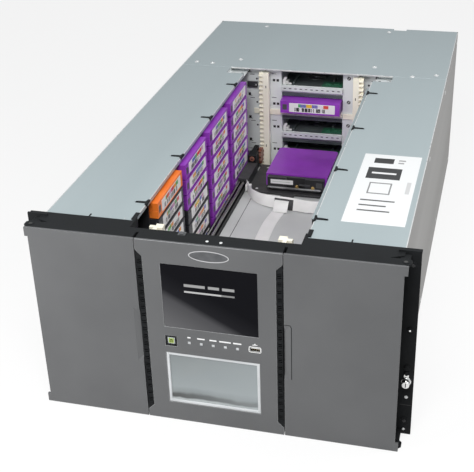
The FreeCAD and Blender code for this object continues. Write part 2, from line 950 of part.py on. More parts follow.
def status_lights():
    span = ("light_recess", "light_recess + light_length")
    loops = [square(across, "light_z", "light_side") for across in light_places()]
    return group(*[profile("XZ_Plane", [loop], *span) for loop in loops])


def usb_port():
    """Metal shell of the data port, open to the front."""
    shell = profile("XZ_Plane", [port_loop("port_wall")], "port_recess", "port_recess + port_depth")
    hollow = profile("XZ_Plane", [port_loop("0 * port_wall")], "0", "port_recess + port_depth - port_wall")
    return cut(shell, hollow)


# Cartridges and magazines


def cartridge():
    """One cartridge, lying flat with its label end at y = 0 and its leading corners bevelled."""
    half = "tape_wide / 2"
    corners = [
        ("-" + half, "0"),
        (half, "0"),
        (half, "tape_long - tape_bevel"),
        (half + " - tape_bevel", "tape_long"),
        ("-%s + tape_bevel" % half, "tape_long"),
        ("-" + half, "tape_long - tape_bevel"),
    ]
    return profile("XY_Plane", [corners], "0", "tape_high")


def slot_place(side, column, slot):
    """Cartridge in a magazine, label towards the shaft; slot 0 is the top one."""
    along = "(column_first + %d * column_pitch)" % column
    up = "(slot_low + slot_pitch * (slot_rows - 1 - %d))" % slot
    across = sorted((side + "shaft_half", side + "(shaft_half + tape_long)"), key=value)
    return box(across, (along, along + " + tape_wide"), (up, up + " + tape_high"))


def is_black(column, slot):
    """Black cartridges fill the front column and the lower part of the next one."""
    return column == 0 or (column == 1 and slot >= count("mixed_purple_rows"))


def magazine_cartridges(black):
    found = []
    for side in ("-", ""):
        for column in range(count("column_count")):
            for slot in range(count("slot_rows")):
                cleaning = side == "-" and column == 0 and slot == 0
                if is_black(column, slot) == black and not cleaning:
                    found.append(slot_place(side, column, slot))
    return found


def loaded_cartridge():
    """The cartridge that stands out of one drive."""
    up = drive_level(count("loaded_drive"))
    return placed(CARTRIDGE, "0", "bulkhead - loaded_reach", up + " - mouth_high / 2")


def magazine():
    """Right magazine: an open rack of shelves and end walls on one back wall and one floor."""
    face = "magazine_face"
    back = "(shaft_half + tape_long)"
    top = "(slot_low + slot_pitch * slot_rows - shelf_gap)"
    front = "(column_first - magazine_side_gap - magazine_wall)"
    last = "(column_first + (column_count - 1) * column_pitch)"
    rear = "(%s + tape_wide + magazine_side_gap + magazine_wall)" % last
    start = "(magazine_front + magazine_plate)"
    parts = [box((back, back + " + magazine_wall"), (start, rear), ("bay_low", top))]
    parts.append(box((face, back), (start, rear), ("bay_low", "slot_low")))
    for shelf in range(1, count("slot_rows") + 1):
        up = "(slot_low + slot_pitch * %d)" % shelf
        low = up + " - slot_pitch + tape_high + shelf_gap"
        parts.append(box((face, back), (front, rear), (low, up if shelf < count("slot_rows") else top)))
    for wall in range(count("column_count") + 1):
        start = "(column_first + %d * column_pitch)" % wall
        near = start + " - column_pitch + tape_wide + magazine_side_gap" if wall else front
        far = start + " - magazine_side_gap" if wall < count("column_count") else rear
        parts.append(box((face, back), (near, far), ("bay_low", top)))
    return fuse(*parts)


def magazine_front():
    """Plate that closes the front of a magazine, with its pull."""
    plate = box(
        ("bay_inner + bay_clearance", "bay_outer - bay_clearance"),
        ("magazine_front", "magazine_front + magazine_plate"),
        ("bay_low + bay_clearance", "bay_high - bay_clearance"),
    )
    return fuse(plate, magazine_pull())


def magazine_pull():
    """Upright bar handle on the magazine's front plate."""
    middle = "(bay_inner + bay_outer) / 2"
    across = (middle + " - pull_wide / 2", middle + " + pull_wide / 2")
    centre = "(bay_low + bay_high) / 2"
    handle = box(across, ("magazine_front - pull_reach", "magazine_front"),
                 (centre + " - pull_high / 2", centre + " + pull_high / 2"))
    gap = box(
        ("bay_inner", "bay_outer"),
        ("magazine_front - pull_reach + pull_bar", "magazine_front"),
        (centre + " - pull_high / 2 + pull_bar", centre + " + pull_high / 2 - pull_bar"),
    )
    return cut(handle, gap)


def magazine_rails():
    rails = []
    for inner in ("rail_inner", "rail_outer"):
        rails.append(box((inner, inner + " + rail_wide"), ("body_front", "rail_back"), ("sheet", "bay_low")))
    return both_sides(group(*rails))


# Drives and what is behind the bulkhead


def tape_drive(number):
    """Half-height drive in its sled: mouth at the front, face plate and pull at the rear."""
    level = drive_level(number)
    front = "bulkhead + bulkhead_plate"
    tall = (level + " - drive_drop", level + " - drive_drop + drive_high")
    case = box(("-drive_half", "drive_half"), (front, "rear_face"), tall)
    flange = "(drive_half + sled_flange)"
    plate = box(("-" + flange, flange), ("rear_face", "rear_face + sled_plate"), tall)
    grip = ("rear_face", "rear_face + sled_plate + sled_handle_reach")
    bar = ("rear_face + sled_plate + sled_handle_reach - sled_handle_bar", grip[1])
    upright = (level + " - sled_handle_bar / 2", level + " + sled_handle_bar / 2")
    handle = [box(("-sled_handle_half", "sled_handle_half"), bar, upright)]
    for side in ("-", ""):
        middle = side + "(sled_handle_half - sled_handle_bar / 2)"
        across = (middle + " - sled_handle_bar / 2", middle + " + sled_handle_bar / 2")
        handle.append(box(across, grip, upright))
    mouth = box(
        ("-mouth_half", "mouth_half"),
        (front + " - sheet", front + " + mouth_depth"),
        (level + " - mouth_high / 2", level + " + mouth_high / 2"),
    )
    return cut(fuse(case, plate, *handle), mouth)


def power_supplies():
    """Two supplies, one on the other, on the left behind the bulkhead."""
    boxes = []
    for number in (0, 1):
        low = "sheet + %d * supply_high" % number
        span = (low, low + " + supply_high")
        boxes.append(box(("-supply_outer", "-supply_inner"), ("supply_front", "supply_back"), span))
    return group(*boxes)


def controller_module():
    tall = ("sheet", "sheet + controller_high")
    return box(("supply_inner", "supply_outer"), ("supply_front", "supply_back"), tall)


def rear_socket(across, up, wide, high):
    """Moulded socket, open to the rear, standing on its module and passing through the rear panel."""
    half = "(%s / 2 + socket_wall)" % wide
    tall = "(%s / 2 + socket_wall)" % high
    span = ("supply_back", "rear_face + rear_plate + socket_proud")
    shell = box(("%s - %s" % (across, half), "%s + %s" % (across, half)), span,
                ("%s - %s" % (up, tall), "%s + %s" % (up, tall)))
    hollow = box(
        ("%s - %s / 2" % (across, wide), "%s + %s / 2" % (across, wide)),
        ("supply_back + socket_floor", "overall_depth"),
        ("%s - %s / 2" % (up, high), "%s + %s / 2" % (up, high)),
    )
    return cut(shell, hollow)


def rear_sockets():
    sockets = []
    for number in (0, 1):
        sockets.append(rear_socket("-inlet_x", inlet_level(number), "inlet_wide", "inlet_high"))
        sockets.append(rear_socket(network_place(number), "network_z", "network_wide", "network_high"))
    return group(*sockets)


# Lift racks and pinions


def rack_body(line, sign, back):
    """Right-hand rack: a smooth guide strip beside the teeth, which point away from the web's fixed back."""
    body = doc.addObject("PartDesign::Body", "rack")
    root = "(%s + %d * gear_module * tooth_dedendum)" % (line, sign)
    tip = "(%s - %d * gear_module * tooth_addendum)" % (line, sign)
    plate_back = "(%s + %d * rack_plate)" % (root, sign)
    middle = "(rack_inner + rack_outer) / 2"
    section = [
        ("rack_inner", tip),
        ("tooth_inner", tip),
        ("tooth_inner", root),
        ("rack_outer", root),
        ("rack_outer", plate_back),
        (middle + " + rack_web / 2", plate_back),
        (middle + " + rack_web / 2", back),
        (middle + " - rack_web / 2", back),
        (middle + " - rack_web / 2", plate_back),
        ("rack_inner", plate_back),
    ]
    pad(body, outline(body, "XY_Plane", [section]), "XY_Plane", "rack_low", "rack_high")
    pitch = value("gear_module") * math.pi
    lean = math.tan(math.radians(value("pressure_angle")))
    half_line = "(gear_module * pi / 4 - tooth_backlash / 2)"
    half_root = "(%s + gear_module * tooth_dedendum * %.6f)" % (half_line, lean)
    half_tip = "(%s - gear_module * tooth_addendum * %.6f)" % (half_line, lean)
    mesh = "(%s + pinion_rise)" % ROBOT_DECK
    below = int((value(mesh) - value("rack_low")) / pitch - 0.5)
    above = int((value("rack_high") - value(mesh)) / pitch - 0.5)
    lowest = "(%s - %d * gear_module * pi)" % (mesh, below)
    tooth = [
        (root, lowest + " - " + half_root),
        (tip, lowest + " - " + half_tip),
        (tip, lowest + " + " + half_tip),
        (root, lowest + " + " + half_root),
    ]
    first = pad(body, outline(body, "YZ_Plane", [tooth]), "YZ_Plane", "tooth_inner", "rack_outer")
    row = body.newObject("PartDesign::LinearPattern", "teeth")
    row.Originals = [first]
    row.Direction = (next(item for item in body.Origin.OriginFeatures if item.Role == "Z_Axis"), [""])
    row.Occurrences = below + above + 1
    bind(row, "Length", "gear_module * pi * %d" % (below + above))
    body.Tip = row
    return body


def rear_lift_racks():
    rack = rack_body("rear_pitch_line", 1, "bulkhead")
    plate_front = "(rear_pitch_line + gear_module * tooth_dedendum + rack_plate)"
    clip = box(("clip_inner", "clip_outer"), ("bulkhead - clip_plate", "bulkhead"), ("clip_low", "clip_high"))
    gap = box(("rack_inner", "rack_outer"), ("front_pitch_line", plate_front), ("clip_low", "clip_high"))
    return both_sides(fuse(rack, cut(clip, gap)))


def front_lift_racks():
    return both_sides(rack_body("front_pitch_line", -1, "frame_middle_back"))


def involute_point(base, radius, spread):
    """Point of a tooth flank at a radius; spread is half the tooth's angle at the base circle."""
    swing = math.acos(base / radius) if radius > base else 0.0
    angle = spread - (math.tan(swing) - swing)
    return radius, angle


def pinion():
    """Toothed wheel on its axle, drawn about its own axis with a gap between teeth towards +x."""
    module = value("gear_module")
    teeth = count("pinion_teeth")
    pitch_radius = module * teeth / 2
    pressure = math.radians(value("pressure_angle"))
    base = pitch_radius * math.cos(pressure)
    root = pitch_radius - module * value("tooth_dedendum")
    tip = pitch_radius + module * value("tooth_addendum")
    half = (math.pi * module / 4 - value("tooth_backlash") / 2) / pitch_radius
    spread = half + math.tan(pressure) - pressure
    radii = [root, pitch_radius, tip]
    flank = [involute_point(base, radius, spread) for radius in radii]
    points = []
    for number in range(teeth):
        middle = 2 * math.pi * (number + 0.5) / teeth
        side = [(radius, middle - angle) for radius, angle in flank]
        side += [(radius, middle + angle) for radius, angle in reversed(flank)]
        for radius, turn in side:
            points.append(FreeCAD.Vector(radius * math.cos(turn), radius * math.sin(turn), 0))
    face = Part.Face(Part.makePolygon(points + points[:1]))
    wheel = face.extrude(FreeCAD.Vector(0, 0, value("pinion_outer - pinion_inner")))
    axle_long = value("robot_half - swivel_gap - pinion_inner")
    axle = Part.makeCylinder(value("axle_radius"), axle_long)
    item = doc.addObject("Part::Feature", "pinion")
    item.Shape = wheel.fuse(axle).removeSplitter()
    return item


def lift_pinions(axle, towards_rear):
    """Pair of pinions on one line, each in mesh with its rack."""
    wheel = group(PINION)
    level = "(%s + pinion_rise)" % ROBOT_DECK
    lay_over = FreeCAD.Rotation(FreeCAD.Vector(0, 1, 0), 90)
    face_rack = FreeCAD.Rotation(FreeCAD.Vector(1, 0, 0), 90 if towards_rear else -90)
    wheel.Placement.Rotation = face_rack * lay_over
    for axis, text in (("x", "pinion_inner"), ("y", axle), ("z", level)):
        bind(wheel, "Placement.Base." + axis, text)
    return both_sides(wheel)


# Robot


def robot_base_plate():
    return box(("-robot_half", "robot_half"), ("base_front", "base_back"), (ROBOT_FLOOR, ROBOT_DECK))


def pulley_post(along):
    span = (ROBOT_DECK, ROBOT_DECK + " + beam_floor + belt_rise + belt_high")
    return rod("z", "pulley_post", ("-pulley_x", along), span)


def left_guide_beam():
    """Black angle along the left of the base plate, with the two posts of the belt pulleys."""
    section = [
        ("-robot_half", ROBOT_DECK),
        ("-beam_inner", ROBOT_DECK),
        ("-beam_inner", ROBOT_DECK + " + beam_floor"),
        ("-robot_half + beam_wall", ROBOT_DECK + " + beam_floor"),
        ("-robot_half + beam_wall", ROBOT_DECK + " + beam_high"),
        ("-robot_half", ROBOT_DECK + " + beam_high"),
    ]
    angle = profile("XZ_Plane", [section], "base_front + block_long", "base_back - block_long")
    return fuse(angle, pulley_post("pulley_front"), pulley_post("pulley_back"))


def right_guide_rail():
    return box(
        ("rail_inner_edge", "robot_half"),
        ("base_front + block_long", "base_back - block_long"),
        (ROBOT_DECK, ROBOT_DECK + " + rail_top"),
    )


def guide_rods():
    level = "(%s + rod_rise)" % ROBOT_DECK
    span = ("base_front + block_long - rod_seat", "base_back - block_long + rod_seat")
    return group(*[rod("y", "rod_radius", (across, level), span) for across in ("-rod_first", "-rod_second")])


def end_block(near, far, cheek_far, axle, drilled):
    """Corner block of the lift on the right: a body on the base plate and a cheek that carries a pinion."""
    body = box(("block_inner", "robot_half"), (near, far), (ROBOT_DECK, ROBOT_DECK + " + block_high"))
    low, high = sorted((near, cheek_far), key=value)
    cheek = box(("cheek_inner", "robot_half"), (low, high), (ROBOT_DECK, ROBOT_DECK + " + cheek_high"))
    level = "(%s + pinion_rise)" % ROBOT_DECK
    tools = [rod("x", "axle_radius + pin_play", (axle, level), ("block_inner", "robot_half + sheet"))]
    if drilled:
        rod_level = "(%s + rod_rise)" % ROBOT_DECK
        span = ("base_front + block_long - rod_seat", "base_back - block_long + rod_seat")
        for across in ("rod_first", "rod_second"):
            wide = (across + " - rod_radius", across + " + rod_radius")
            tools.append(box(wide, span, (rod_level + " - rod_radius", rod_level + " + rod_radius")))
    return cut(fuse(body, cheek), *tools)


def lift_end_blocks():
    blocks = []
    for drilled in (True, False):
        rear = end_block("base_back - block_long", "base_back", "base_back + cheek_reach", REAR_AXLE, drilled)
        reach = "base_front - cheek_reach"
        front = end_block("base_front", "base_front + block_long", reach, FRONT_AXLE, drilled)
        pair = group(rear, front)
        blocks.append(mirrored(pair) if drilled else pair)
    return group(*blocks)


def lift_motors():
    """Stepping motors outside the rear cheeks, in line with the rear pinions, with bevelled edges."""
    level = "(%s + pinion_rise)" % ROBOT_DECK
    front, back = REAR_AXLE + " - motor_half", REAR_AXLE + " + motor_half"
    low, high = level + " - motor_half", level + " + motor_half"
    corners = [
        (front, low + " + motor_bevel"),
        (front + " + motor_bevel", low),
        (back + " - motor_bevel", low),
        (back, low + " + motor_bevel"),
        (back, high + " - motor_bevel"),
        (back + " - motor_bevel", high),
        (front + " + motor_bevel", high),
        (front, high + " - motor_bevel"),
    ]
    return both_sides(profile("YZ_Plane", [corners], "robot_half", "robot_half + motor_long"))


def belt_pulley(along):
    """Pulley that turns on a post of the beam."""
    span = (ROBOT_DECK + " + beam_floor + belt_gap", ROBOT_DECK + " + beam_floor + belt_rise + belt_high")
    wheel = rod("z", "pulley_radius", ("-pulley_x", along), span)
    return cut(wheel, rod("z", "pulley_post + pin_play", ("-pulley_x", along), span))


def belt_loop(radius):
    """Closed run round both pulleys, as straight stretches and half circles."""
    left = -value("pulley_x")
    front = value("pulley_front")
    back = value("pulley_back")
    level = value(ROBOT_DECK + " + beam_floor + belt_rise")
    corner = lambda across, along: FreeCAD.Vector(left + across, along, level)
    edges = [
        Part.makeLine(corner(-radius, front), corner(-radius, back)),
        Part.Arc(corner(-radius, back), corner(0, back + radius), corner(radius, back)).toShape(),
        Part.makeLine(corner(radius, back), corner(radius, front)),
        Part.Arc(corner(radius, front), corner(0, front - radius), corner(-radius, front)).toShape(),
    ]
    return Part.Face(Part.Wire(edges))


def carriage_belt():
    inner = value("pulley_radius + belt_gap")
    ring = belt_loop(inner + value("belt_thick")).cut(belt_loop(inner))
    item = doc.addObject("Part::Feature", "belt")
    item.Shape = ring.extrude(FreeCAD.Vector(0, 0, value("belt_high"))).Solids[0]
    return item


def picker_carriage():
    """Plate that runs on rods at the left and on a rail at the right, with a ribbon clamp in front."""
    deck = (ROBOT_DECK + " + carriage_lift", CARRIAGE_DECK)
    corners = [
        ("-carriage_half + carriage_corner", "carriage_front"),
        ("carriage_half - carriage_corner", "carriage_front"),
        ("carriage_half", "carriage_front + carriage_corner"),
        ("carriage_half", "carriage_back"),
        ("-carriage_half", "carriage_back"),
        ("-carriage_half", "carriage_front + carriage_corner"),
    ]
    plate = profile("XY_Plane", [corners], *deck)
    shoe_low = ROBOT_DECK + " + rail_top + slider_gap"
    shoe_high = shoe_low + " + slider_high"
    web = box(("carriage_half", "web_outer"), ("slider_front", "slider_back"), (deck[0], shoe_high))
    shoe_wide = ("carriage_half", "robot_half - slider_gap")
    shoe = box(shoe_wide, ("slider_front", "slider_back"), (shoe_low, shoe_high))
    right = fuse(web, shoe)
    level = "(%s + rod_rise)" % ROBOT_DECK
    span = ("slider_front - sheet", "slider_back + sheet")
    rods = ("-rod_first", "-rod_second")
    bores = [rod("y", "rod_radius + pin_play", (across, level), span) for across in rods]
    left = cut(mirrored(right), *bores)
    tongue = box(("clamp_left", "clamp_right"), ("clamp_front", "carriage_front"), deck)
    clamp = box(
        ("clamp_left", "clamp_right"),
        ("clamp_front", "clamp_front + clamp_deep"),
        (deck[0], deck[0] + " + clamp_high"),
    )
    hub = rod("z", "hub_radius + pin_play", ("0", "pivot_y"), (deck[0] + " - sheet", deck[1] + " + sheet"))
    return cut(fuse(plate, right, left, tongue, clamp), hub)


def bow(outer, along, middle, stretches):
    """Points of a circular bow from one end, through its middle, to the other end."""
    sag = along - middle
    radius = (outer * outer + sag * sag) / (2 * sag)
    sweep = math.asin(outer / radius)
    points = []
    for number in range(stretches + 1):
        turn = sweep * (2 * number / stretches - 1)
        points.append((radius * math.sin(turn), middle + radius * (1 - math.cos(turn))))
    return points


def cross_ribbon():
    """Flat cable standing on edge in a shallow bow across the front of the carriage."""
    outer = value("ribbon_end")
    along = value("slider_front")
    middle = value("ribbon_middle")
    thick = value("ribbon_thick")
    low = value(ROBOT_DECK + " + ribbon_low")
    stretches = count("ribbon_stretches")
    front = bow(outer, along, middle - thick, stretches)
    back = bow(outer - thick, along, middle, stretches)
    points = [FreeCAD.Vector(u, v, low) for u, v in front + back[::-1]]
    item = doc.addObject("Part::Feature", "ribbon")
    face = Part.Face(Part.makePolygon(points + points[:1]))
    item.Shape = face.extrude(FreeCAD.Vector(0, 0, value("ribbon_high")))
    return item


def trailing_ribbon():
    """Flat cable that lies along the base plate as far as the clamp of the carriage."""
    middle = "(clamp_left + clamp_right) / 2"
    return box(
        (middle + " - trail_half", middle + " + trail_half"),
        ("trail_front", "clamp_front + clamp_deep"),
        (ROBOT_DECK, ROBOT_DECK + " + trail_thick"),
    )


def turntable():
    """Disc that swivels the picker, with a hub in the carriage plate."""
    top = "(%s + swivel_gap)" % CARRIAGE_DECK
    hub = rod("z", "hub_radius", ("0", "pivot_y"), (ROBOT_DECK + " + carriage_lift + hub_gap", top))
    disc = rod("z", "turntable_radius", ("0", "pivot_y"), (top, top + " + turntable_plate"))
    return fuse(hub, disc)


def picker_tray():
    """Floor under the picked cartridge, with cut corners and a low guide along each side."""
    low = "(pick_level - tray_plate)"
    corners = [
        ("-tray_half + tray_corner", "pivot_y - tray_front"),
        ("tray_half - tray_corner", "pivot_y - tray_front"),
        ("tray_half", "pivot_y - tray_front + tray_corner"),
        ("tray_half", "pivot_y + tray_back - tray_corner"),
        ("tray_half - tray_corner", "pivot_y + tray_back"),
        ("-tray_half + tray_corner", "pivot_y + tray_back"),
        ("-tray_half", "pivot_y + tray_back - tray_corner"),
        ("-tray_half", "pivot_y - tray_front + tray_corner"),
    ]
    floor = profile("XY_Plane", [corners], low, "pick_level")
    along = ("pivot_y - guide_front", "pivot_y + guide_back")
    foot = box(("0", "guide_inner + guide_wall"), along, (low, "pick_level"))
    wall = box(("guide_inner", "guide_inner + guide_wall"), along, (low, "pick_level + guide_high"))
    side = fuse(foot, wall)
    return fuse(floor, side, mirrored(side))


def gripper():
    """Black head in front of the picked cartridge, notched for its two jaws."""
    corners = [
        ("-gripper_half", "pivot_y - gripper_front"),
        ("-gripper_notch_half", "pivot_y - gripper_front"),
        ("-gripper_notch_half", "pivot_y - gripper_front + gripper_notch_deep"),
        ("gripper_notch_half", "pivot_y - gripper_front + gripper_notch_deep"),
        ("gripper_notch_half", "pivot_y - gripper_front"),
        ("gripper_half", "pivot_y - gripper_front"),
        ("gripper_half", "pivot_y - gripper_back"),
        ("-gripper_half", "pivot_y - gripper_back"),
    ]
    return profile("XY_Plane", [corners], "pick_level", "pick_level + gripper_high")


def picked_cartridge():
    return placed(CARTRIDGE, "0", "pivot_y + pick_ahead - tape_long / 2", "pick_level")


CARTRIDGE = cartridge()
PINION = pinion()

piece("base_pan", base_pan())
for name, make in (("side_panel", side_panel), ("top_panel", top_panel), ("magazine", magazine),
                   ("door_panel", door_panel), ("door_liner", door_liner)):
    right_hand = make()
    piece("right_" + name, right_hand)
    piece("left_" + name, mirrored(right_hand))
piece("rear_top_cover", rear_top_cover())
piece("rear_panel", rear_panel())
piece("drive_bulkhead", drive_bulkhead())
piece("front_frame", front_frame())
piece("hinge_pins", hinge_pins())
piece("centre_fascia", centre_fascia())
piece("centre_housing", centre_housing())
piece("vent_grilles", both_sides(vent_grille()))
piece("touch_screen", touch_screen())
piece("window_frame", window_frame())
piece("window_pane", window_pane())
piece("power_button", power_button())
piece("status_lights", status_lights())
piece("usb_port", usb_port())
piece("magazine_fronts", both_sides(magazine_front()))
piece("magazine_rails", magazine_rails())
piece("purple_cartridges", group(*magazine_cartridges(False), loaded_cartridge()))
piece("black_cartridges", group(*magazine_cartridges(True)))
piece("cleaning_cartridge", slot_place("-", 0, 0))
for drive in range(count("drive_count")):
    piece("tape_drive_%d" % (count("drive_count") - drive), tape_drive(drive))
piece("power_supplies", power_supplies())
piece("controller_module", controller_module())
piece("rear_sockets", rear_sockets())
piece("rear_lift_racks", rear_lift_racks())
piece("front_lift_racks", front_lift_racks())
piece("rear_lift_pinions", lift_pinions(REAR_AXLE, True))
piece("front_lift_pinions", lift_pinions(FRONT_AXLE, False))
piece("robot_base_plate", robot_base_plate())
piece("left_guide_beam", left_guide_beam())
piece("right_guide_rail", right_guide_rail())
piece("guide_rods", guide_rods())
piece("lift_end_blocks", lift_end_blocks())
piece("lift_motors", lift_motors())
piece("carriage_belt", carriage_belt())
piece("front_belt_pulley", belt_pulley("pulley_front"))
piece("rear_belt_pulley", belt_pulley("pulley_back"))
piece("picker_carriage", picker_carriage())
piece("cross_ribbon", cross_ribbon())
piece("trailing_ribbon", trailing_ribbon())
piece("turntable", turntable())
piece("picker_tray", picker_tray())
piece("gripper", gripper())
piece("picked_cartridge", picked_cartridge())

doc.recompute()

failed = [item.Name for item in doc.Objects if "Invalid" in item.State or "Error" in item.State]
if failed:
    raise RuntimeError("not built: " + ", ".join(failed))
for name, holder in PIECES.items():
    if holder.Shape.isNull() or not holder.Shape.isValid() or not holder.Shape.Solids:
        raise RuntimeError("no valid solid in " + name)

os.makedirs("parts", exist_ok=True)
for name, holder in PIECES.items():
    solids = holder.Shape.Solids
    Part.Compound(solids).exportStep(os.path.join("parts", name + ".step"))
    extent = holder.Shape.BoundBox
    print("%-22s %3d solids  %7.1f x %7.1f x %7.1f mm" % (
        name, len(solids), extent.XLength, extent.YLength, extent.ZLength))
print(len(PIECES), "pieces")
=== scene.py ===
# %% [markdown]
# # A tape library module seen from above
# The imported CAD model is the frame: every solid is already in its place, in metres, with the module's
# underside at zero. This lesson dresses it. Plain solids get surfaces with grain, and edges with a painted
# highlight, and the small things that make the object believable, such as screws, labels and cables, are
# modelled on top.

# %% Load the frame
import json
import math

import bmesh
import bpy
from mathutils import Matrix, Vector


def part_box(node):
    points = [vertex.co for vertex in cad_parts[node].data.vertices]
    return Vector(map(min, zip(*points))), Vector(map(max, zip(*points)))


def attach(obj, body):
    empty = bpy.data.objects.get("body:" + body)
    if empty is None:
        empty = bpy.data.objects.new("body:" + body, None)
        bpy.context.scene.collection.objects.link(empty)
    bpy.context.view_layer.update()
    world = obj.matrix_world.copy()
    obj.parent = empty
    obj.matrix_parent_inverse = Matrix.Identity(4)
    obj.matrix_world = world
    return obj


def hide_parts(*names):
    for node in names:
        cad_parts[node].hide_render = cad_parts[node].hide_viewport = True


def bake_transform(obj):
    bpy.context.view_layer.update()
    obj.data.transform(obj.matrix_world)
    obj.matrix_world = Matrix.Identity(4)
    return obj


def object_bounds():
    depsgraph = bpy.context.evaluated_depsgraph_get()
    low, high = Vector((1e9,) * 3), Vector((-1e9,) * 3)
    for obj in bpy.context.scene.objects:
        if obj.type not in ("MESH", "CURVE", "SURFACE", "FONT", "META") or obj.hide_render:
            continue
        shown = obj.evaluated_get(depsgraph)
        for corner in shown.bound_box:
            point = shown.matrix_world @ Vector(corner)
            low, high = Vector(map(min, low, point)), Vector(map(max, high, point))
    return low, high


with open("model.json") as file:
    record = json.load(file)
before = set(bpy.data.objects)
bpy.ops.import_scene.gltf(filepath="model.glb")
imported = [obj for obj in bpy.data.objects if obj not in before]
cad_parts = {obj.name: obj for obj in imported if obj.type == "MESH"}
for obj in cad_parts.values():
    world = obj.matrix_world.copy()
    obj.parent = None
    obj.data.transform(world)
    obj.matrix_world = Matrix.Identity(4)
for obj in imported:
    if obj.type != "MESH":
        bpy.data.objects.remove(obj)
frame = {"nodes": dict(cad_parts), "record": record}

CAD_LOW, CAD_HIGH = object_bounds()
MM = 0.001
print("box in mm", [round(side / MM, 1) for side in CAD_HIGH - CAD_LOW])

# %% [markdown]
# Measures on this object are easiest to read from its front face, because that is how the maker's drawing
# would give them. One small function turns such millimetres into a point of the frame.

# %% Points measured from the front face


def at(x, y, z):
    """Point given in millimetres: x to the right, y back from the doors, z up from the table."""
    return Vector((x * MM, CAD_LOW.y + y * MM, z * MM))


def corners(node):
    """Lowest and highest corner of a node, in millimetres from the front face."""
    low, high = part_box(node)
    shift = Vector((0, CAD_LOW.y, 0))
    return (low - shift) / MM, (high - shift) / MM


FASCIA_FRONT = corners("centre_fascia")[0].y
TOP_Z = corners("rear_top_cover")[1].z
print("top of the cover at", round(TOP_Z, 1), "mm")

# %% [markdown]
# ## Camera, floor and light
# The photo was taken from the right of the front, looking down. A camera is a place, three turns and a
# lens. The turns are written as angles and made into a matrix, so that the slight roll of the hand-held
# view is kept.

# %% Camera
CAMERA_TURN = math.radians(15.845)
CAMERA_DROP = math.radians(28.736)
CAMERA_ROLL = math.radians(-2.0)
CAMERA_LENS = 76.207
CAMERA_PLACE = (307.99, -955.78, 823.69)


def added(name, data):
    """New object in the scene."""
    item = bpy.data.objects.new(name, data)
    bpy.context.scene.collection.objects.link(item)
    return item


def camera_matrix(place):
    """Matrix of a camera that looks ahead, turned to the left, tipped down and rolled."""
    ahead = Vector((
        -math.sin(CAMERA_TURN) * math.cos(CAMERA_DROP),
        math.cos(CAMERA_TURN) * math.cos(CAMERA_DROP),
        -math.sin(CAMERA_DROP),
    ))
    right = Vector((math.cos(CAMERA_TURN), math.sin(CAMERA_TURN), 0))
    up = right.cross(ahead)
    rolled_right = math.cos(CAMERA_ROLL) * right + math.sin(CAMERA_ROLL) * up
    rolled_up = math.cos(CAMERA_ROLL) * up - math.sin(CAMERA_ROLL) * right
    turn = Matrix((rolled_right, rolled_up, -ahead)).transposed()
    return Matrix.Translation(place) @ turn.to_4x4()


camera = added("camera", bpy.data.cameras.new("camera"))
camera.data.lens = CAMERA_LENS
camera.matrix_world = camera_matrix(at(*CAMERA_PLACE))
bpy.context.scene.camera = camera
bpy.context.scene.view_settings.view_transform = "Standard"
print("camera at", [round(value, 3) for value in camera.matrix_world.translation])

# %% [markdown]
# The studio is a white sweep under large soft lamps. The floor shows white to the camera, and to glass and
# metal, but it still takes part of its shade from the lamps, so the object stands on it with a shadow.

# %% Node helper


class Graph:
    """A node tree with short words for adding and wiring its nodes."""

    def __init__(self, tree):
        self.tree = tree

    def add(self, kind, **settings):
        node = self.tree.nodes.new(kind)
        for name, value in settings.items():
            setattr(node, name, value)
        return node

    def wire(self, source, target):
        self.tree.links.new(source, target)

    def feed(self, target, value):
        """Wire a socket, or set a plain value."""
        if hasattr(value, "is_linked"):
            self.wire(value, target)
        else:
            target.default_value = value

    def math(self, operation, first, second=0.0):
        """One step of arithmetic."""
        node = self.add("ShaderNodeMath", operation=operation)
        self.feed(node.inputs[0], first)
        self.feed(node.inputs[1], second)
        return node.outputs[0]

    def blend(self, share, first, second):
        """Colour between two colours."""
        node = self.add("ShaderNodeMix", data_type="RGBA")
        sockets = {socket.identifier: socket for socket in list(node.inputs) + list(node.outputs)}
        self.feed(sockets["Factor_Float"], share)
        self.feed(sockets["A_Color"], first)
        self.feed(sockets["B_Color"], second)
        return sockets["Result_Color"]

    def split(self, vector):
        """The x, y and z of a vector."""
        node = self.add("ShaderNodeSeparateXYZ")
        self.wire(vector, node.inputs[0])
        return node.outputs

    def within(self, value, low, high):
        """One where a value lies between two bounds, else zero."""
        above = self.math("GREATER_THAN", value, low)
        below = self.math("LESS_THAN", value, high)
        return self.math("MULTIPLY", above, below)

    def steps(self, share, stops):
        """Colour band with hard or soft stops: (place, colour)."""
        node = self.add("ShaderNodeValToRGB")
        band = node.color_ramp
        while len(band.elements) < len(stops):
            band.elements.new(1.0)
        for element, (place, colour) in zip(band.elements, stops):
            element.position = place
            element.color = colour
        self.feed(node.inputs["Fac"], share)
        return node

    def ranged(self, value, source=(0.0, 1.0), target=(0.0, 1.0)):
        """Value carried over from one range to another."""
        node = self.add("ShaderNodeMapRange")
        self.wire(value, node.inputs["Value"])
        for name, bound in zip(("From Min", "From Max", "To Min", "To Max"), (*source, *target)):
            node.inputs[name].default_value = bound
        return node.outputs[0]


def rgb(red, green, blue):
    return (red, green, blue, 1.0)


# %% Floor, world and lamps
FLOOR_REACH = 6.0
FLOOR_WHITE = 0.85
WORLD_TINT = rgb(0.93, 0.97, 1.0)
WORLD_STRENGTH = (0.20, 0.85)
LAMPS = {
    "key_panel": ((0.12, -1.10, 1.32), (0.02, 0.0, 0.15), (0.6, 0.5), 16),
    "right_panel": ((0.80, -0.06, 0.96), (0.06, -0.03, 0.2), (0.6, 0.6), 5.8),
    "left_panel": ((-0.72, -0.90, 0.50), (-0.28, -0.43, 0.22), (0.5, 0.5), 5.5),
}


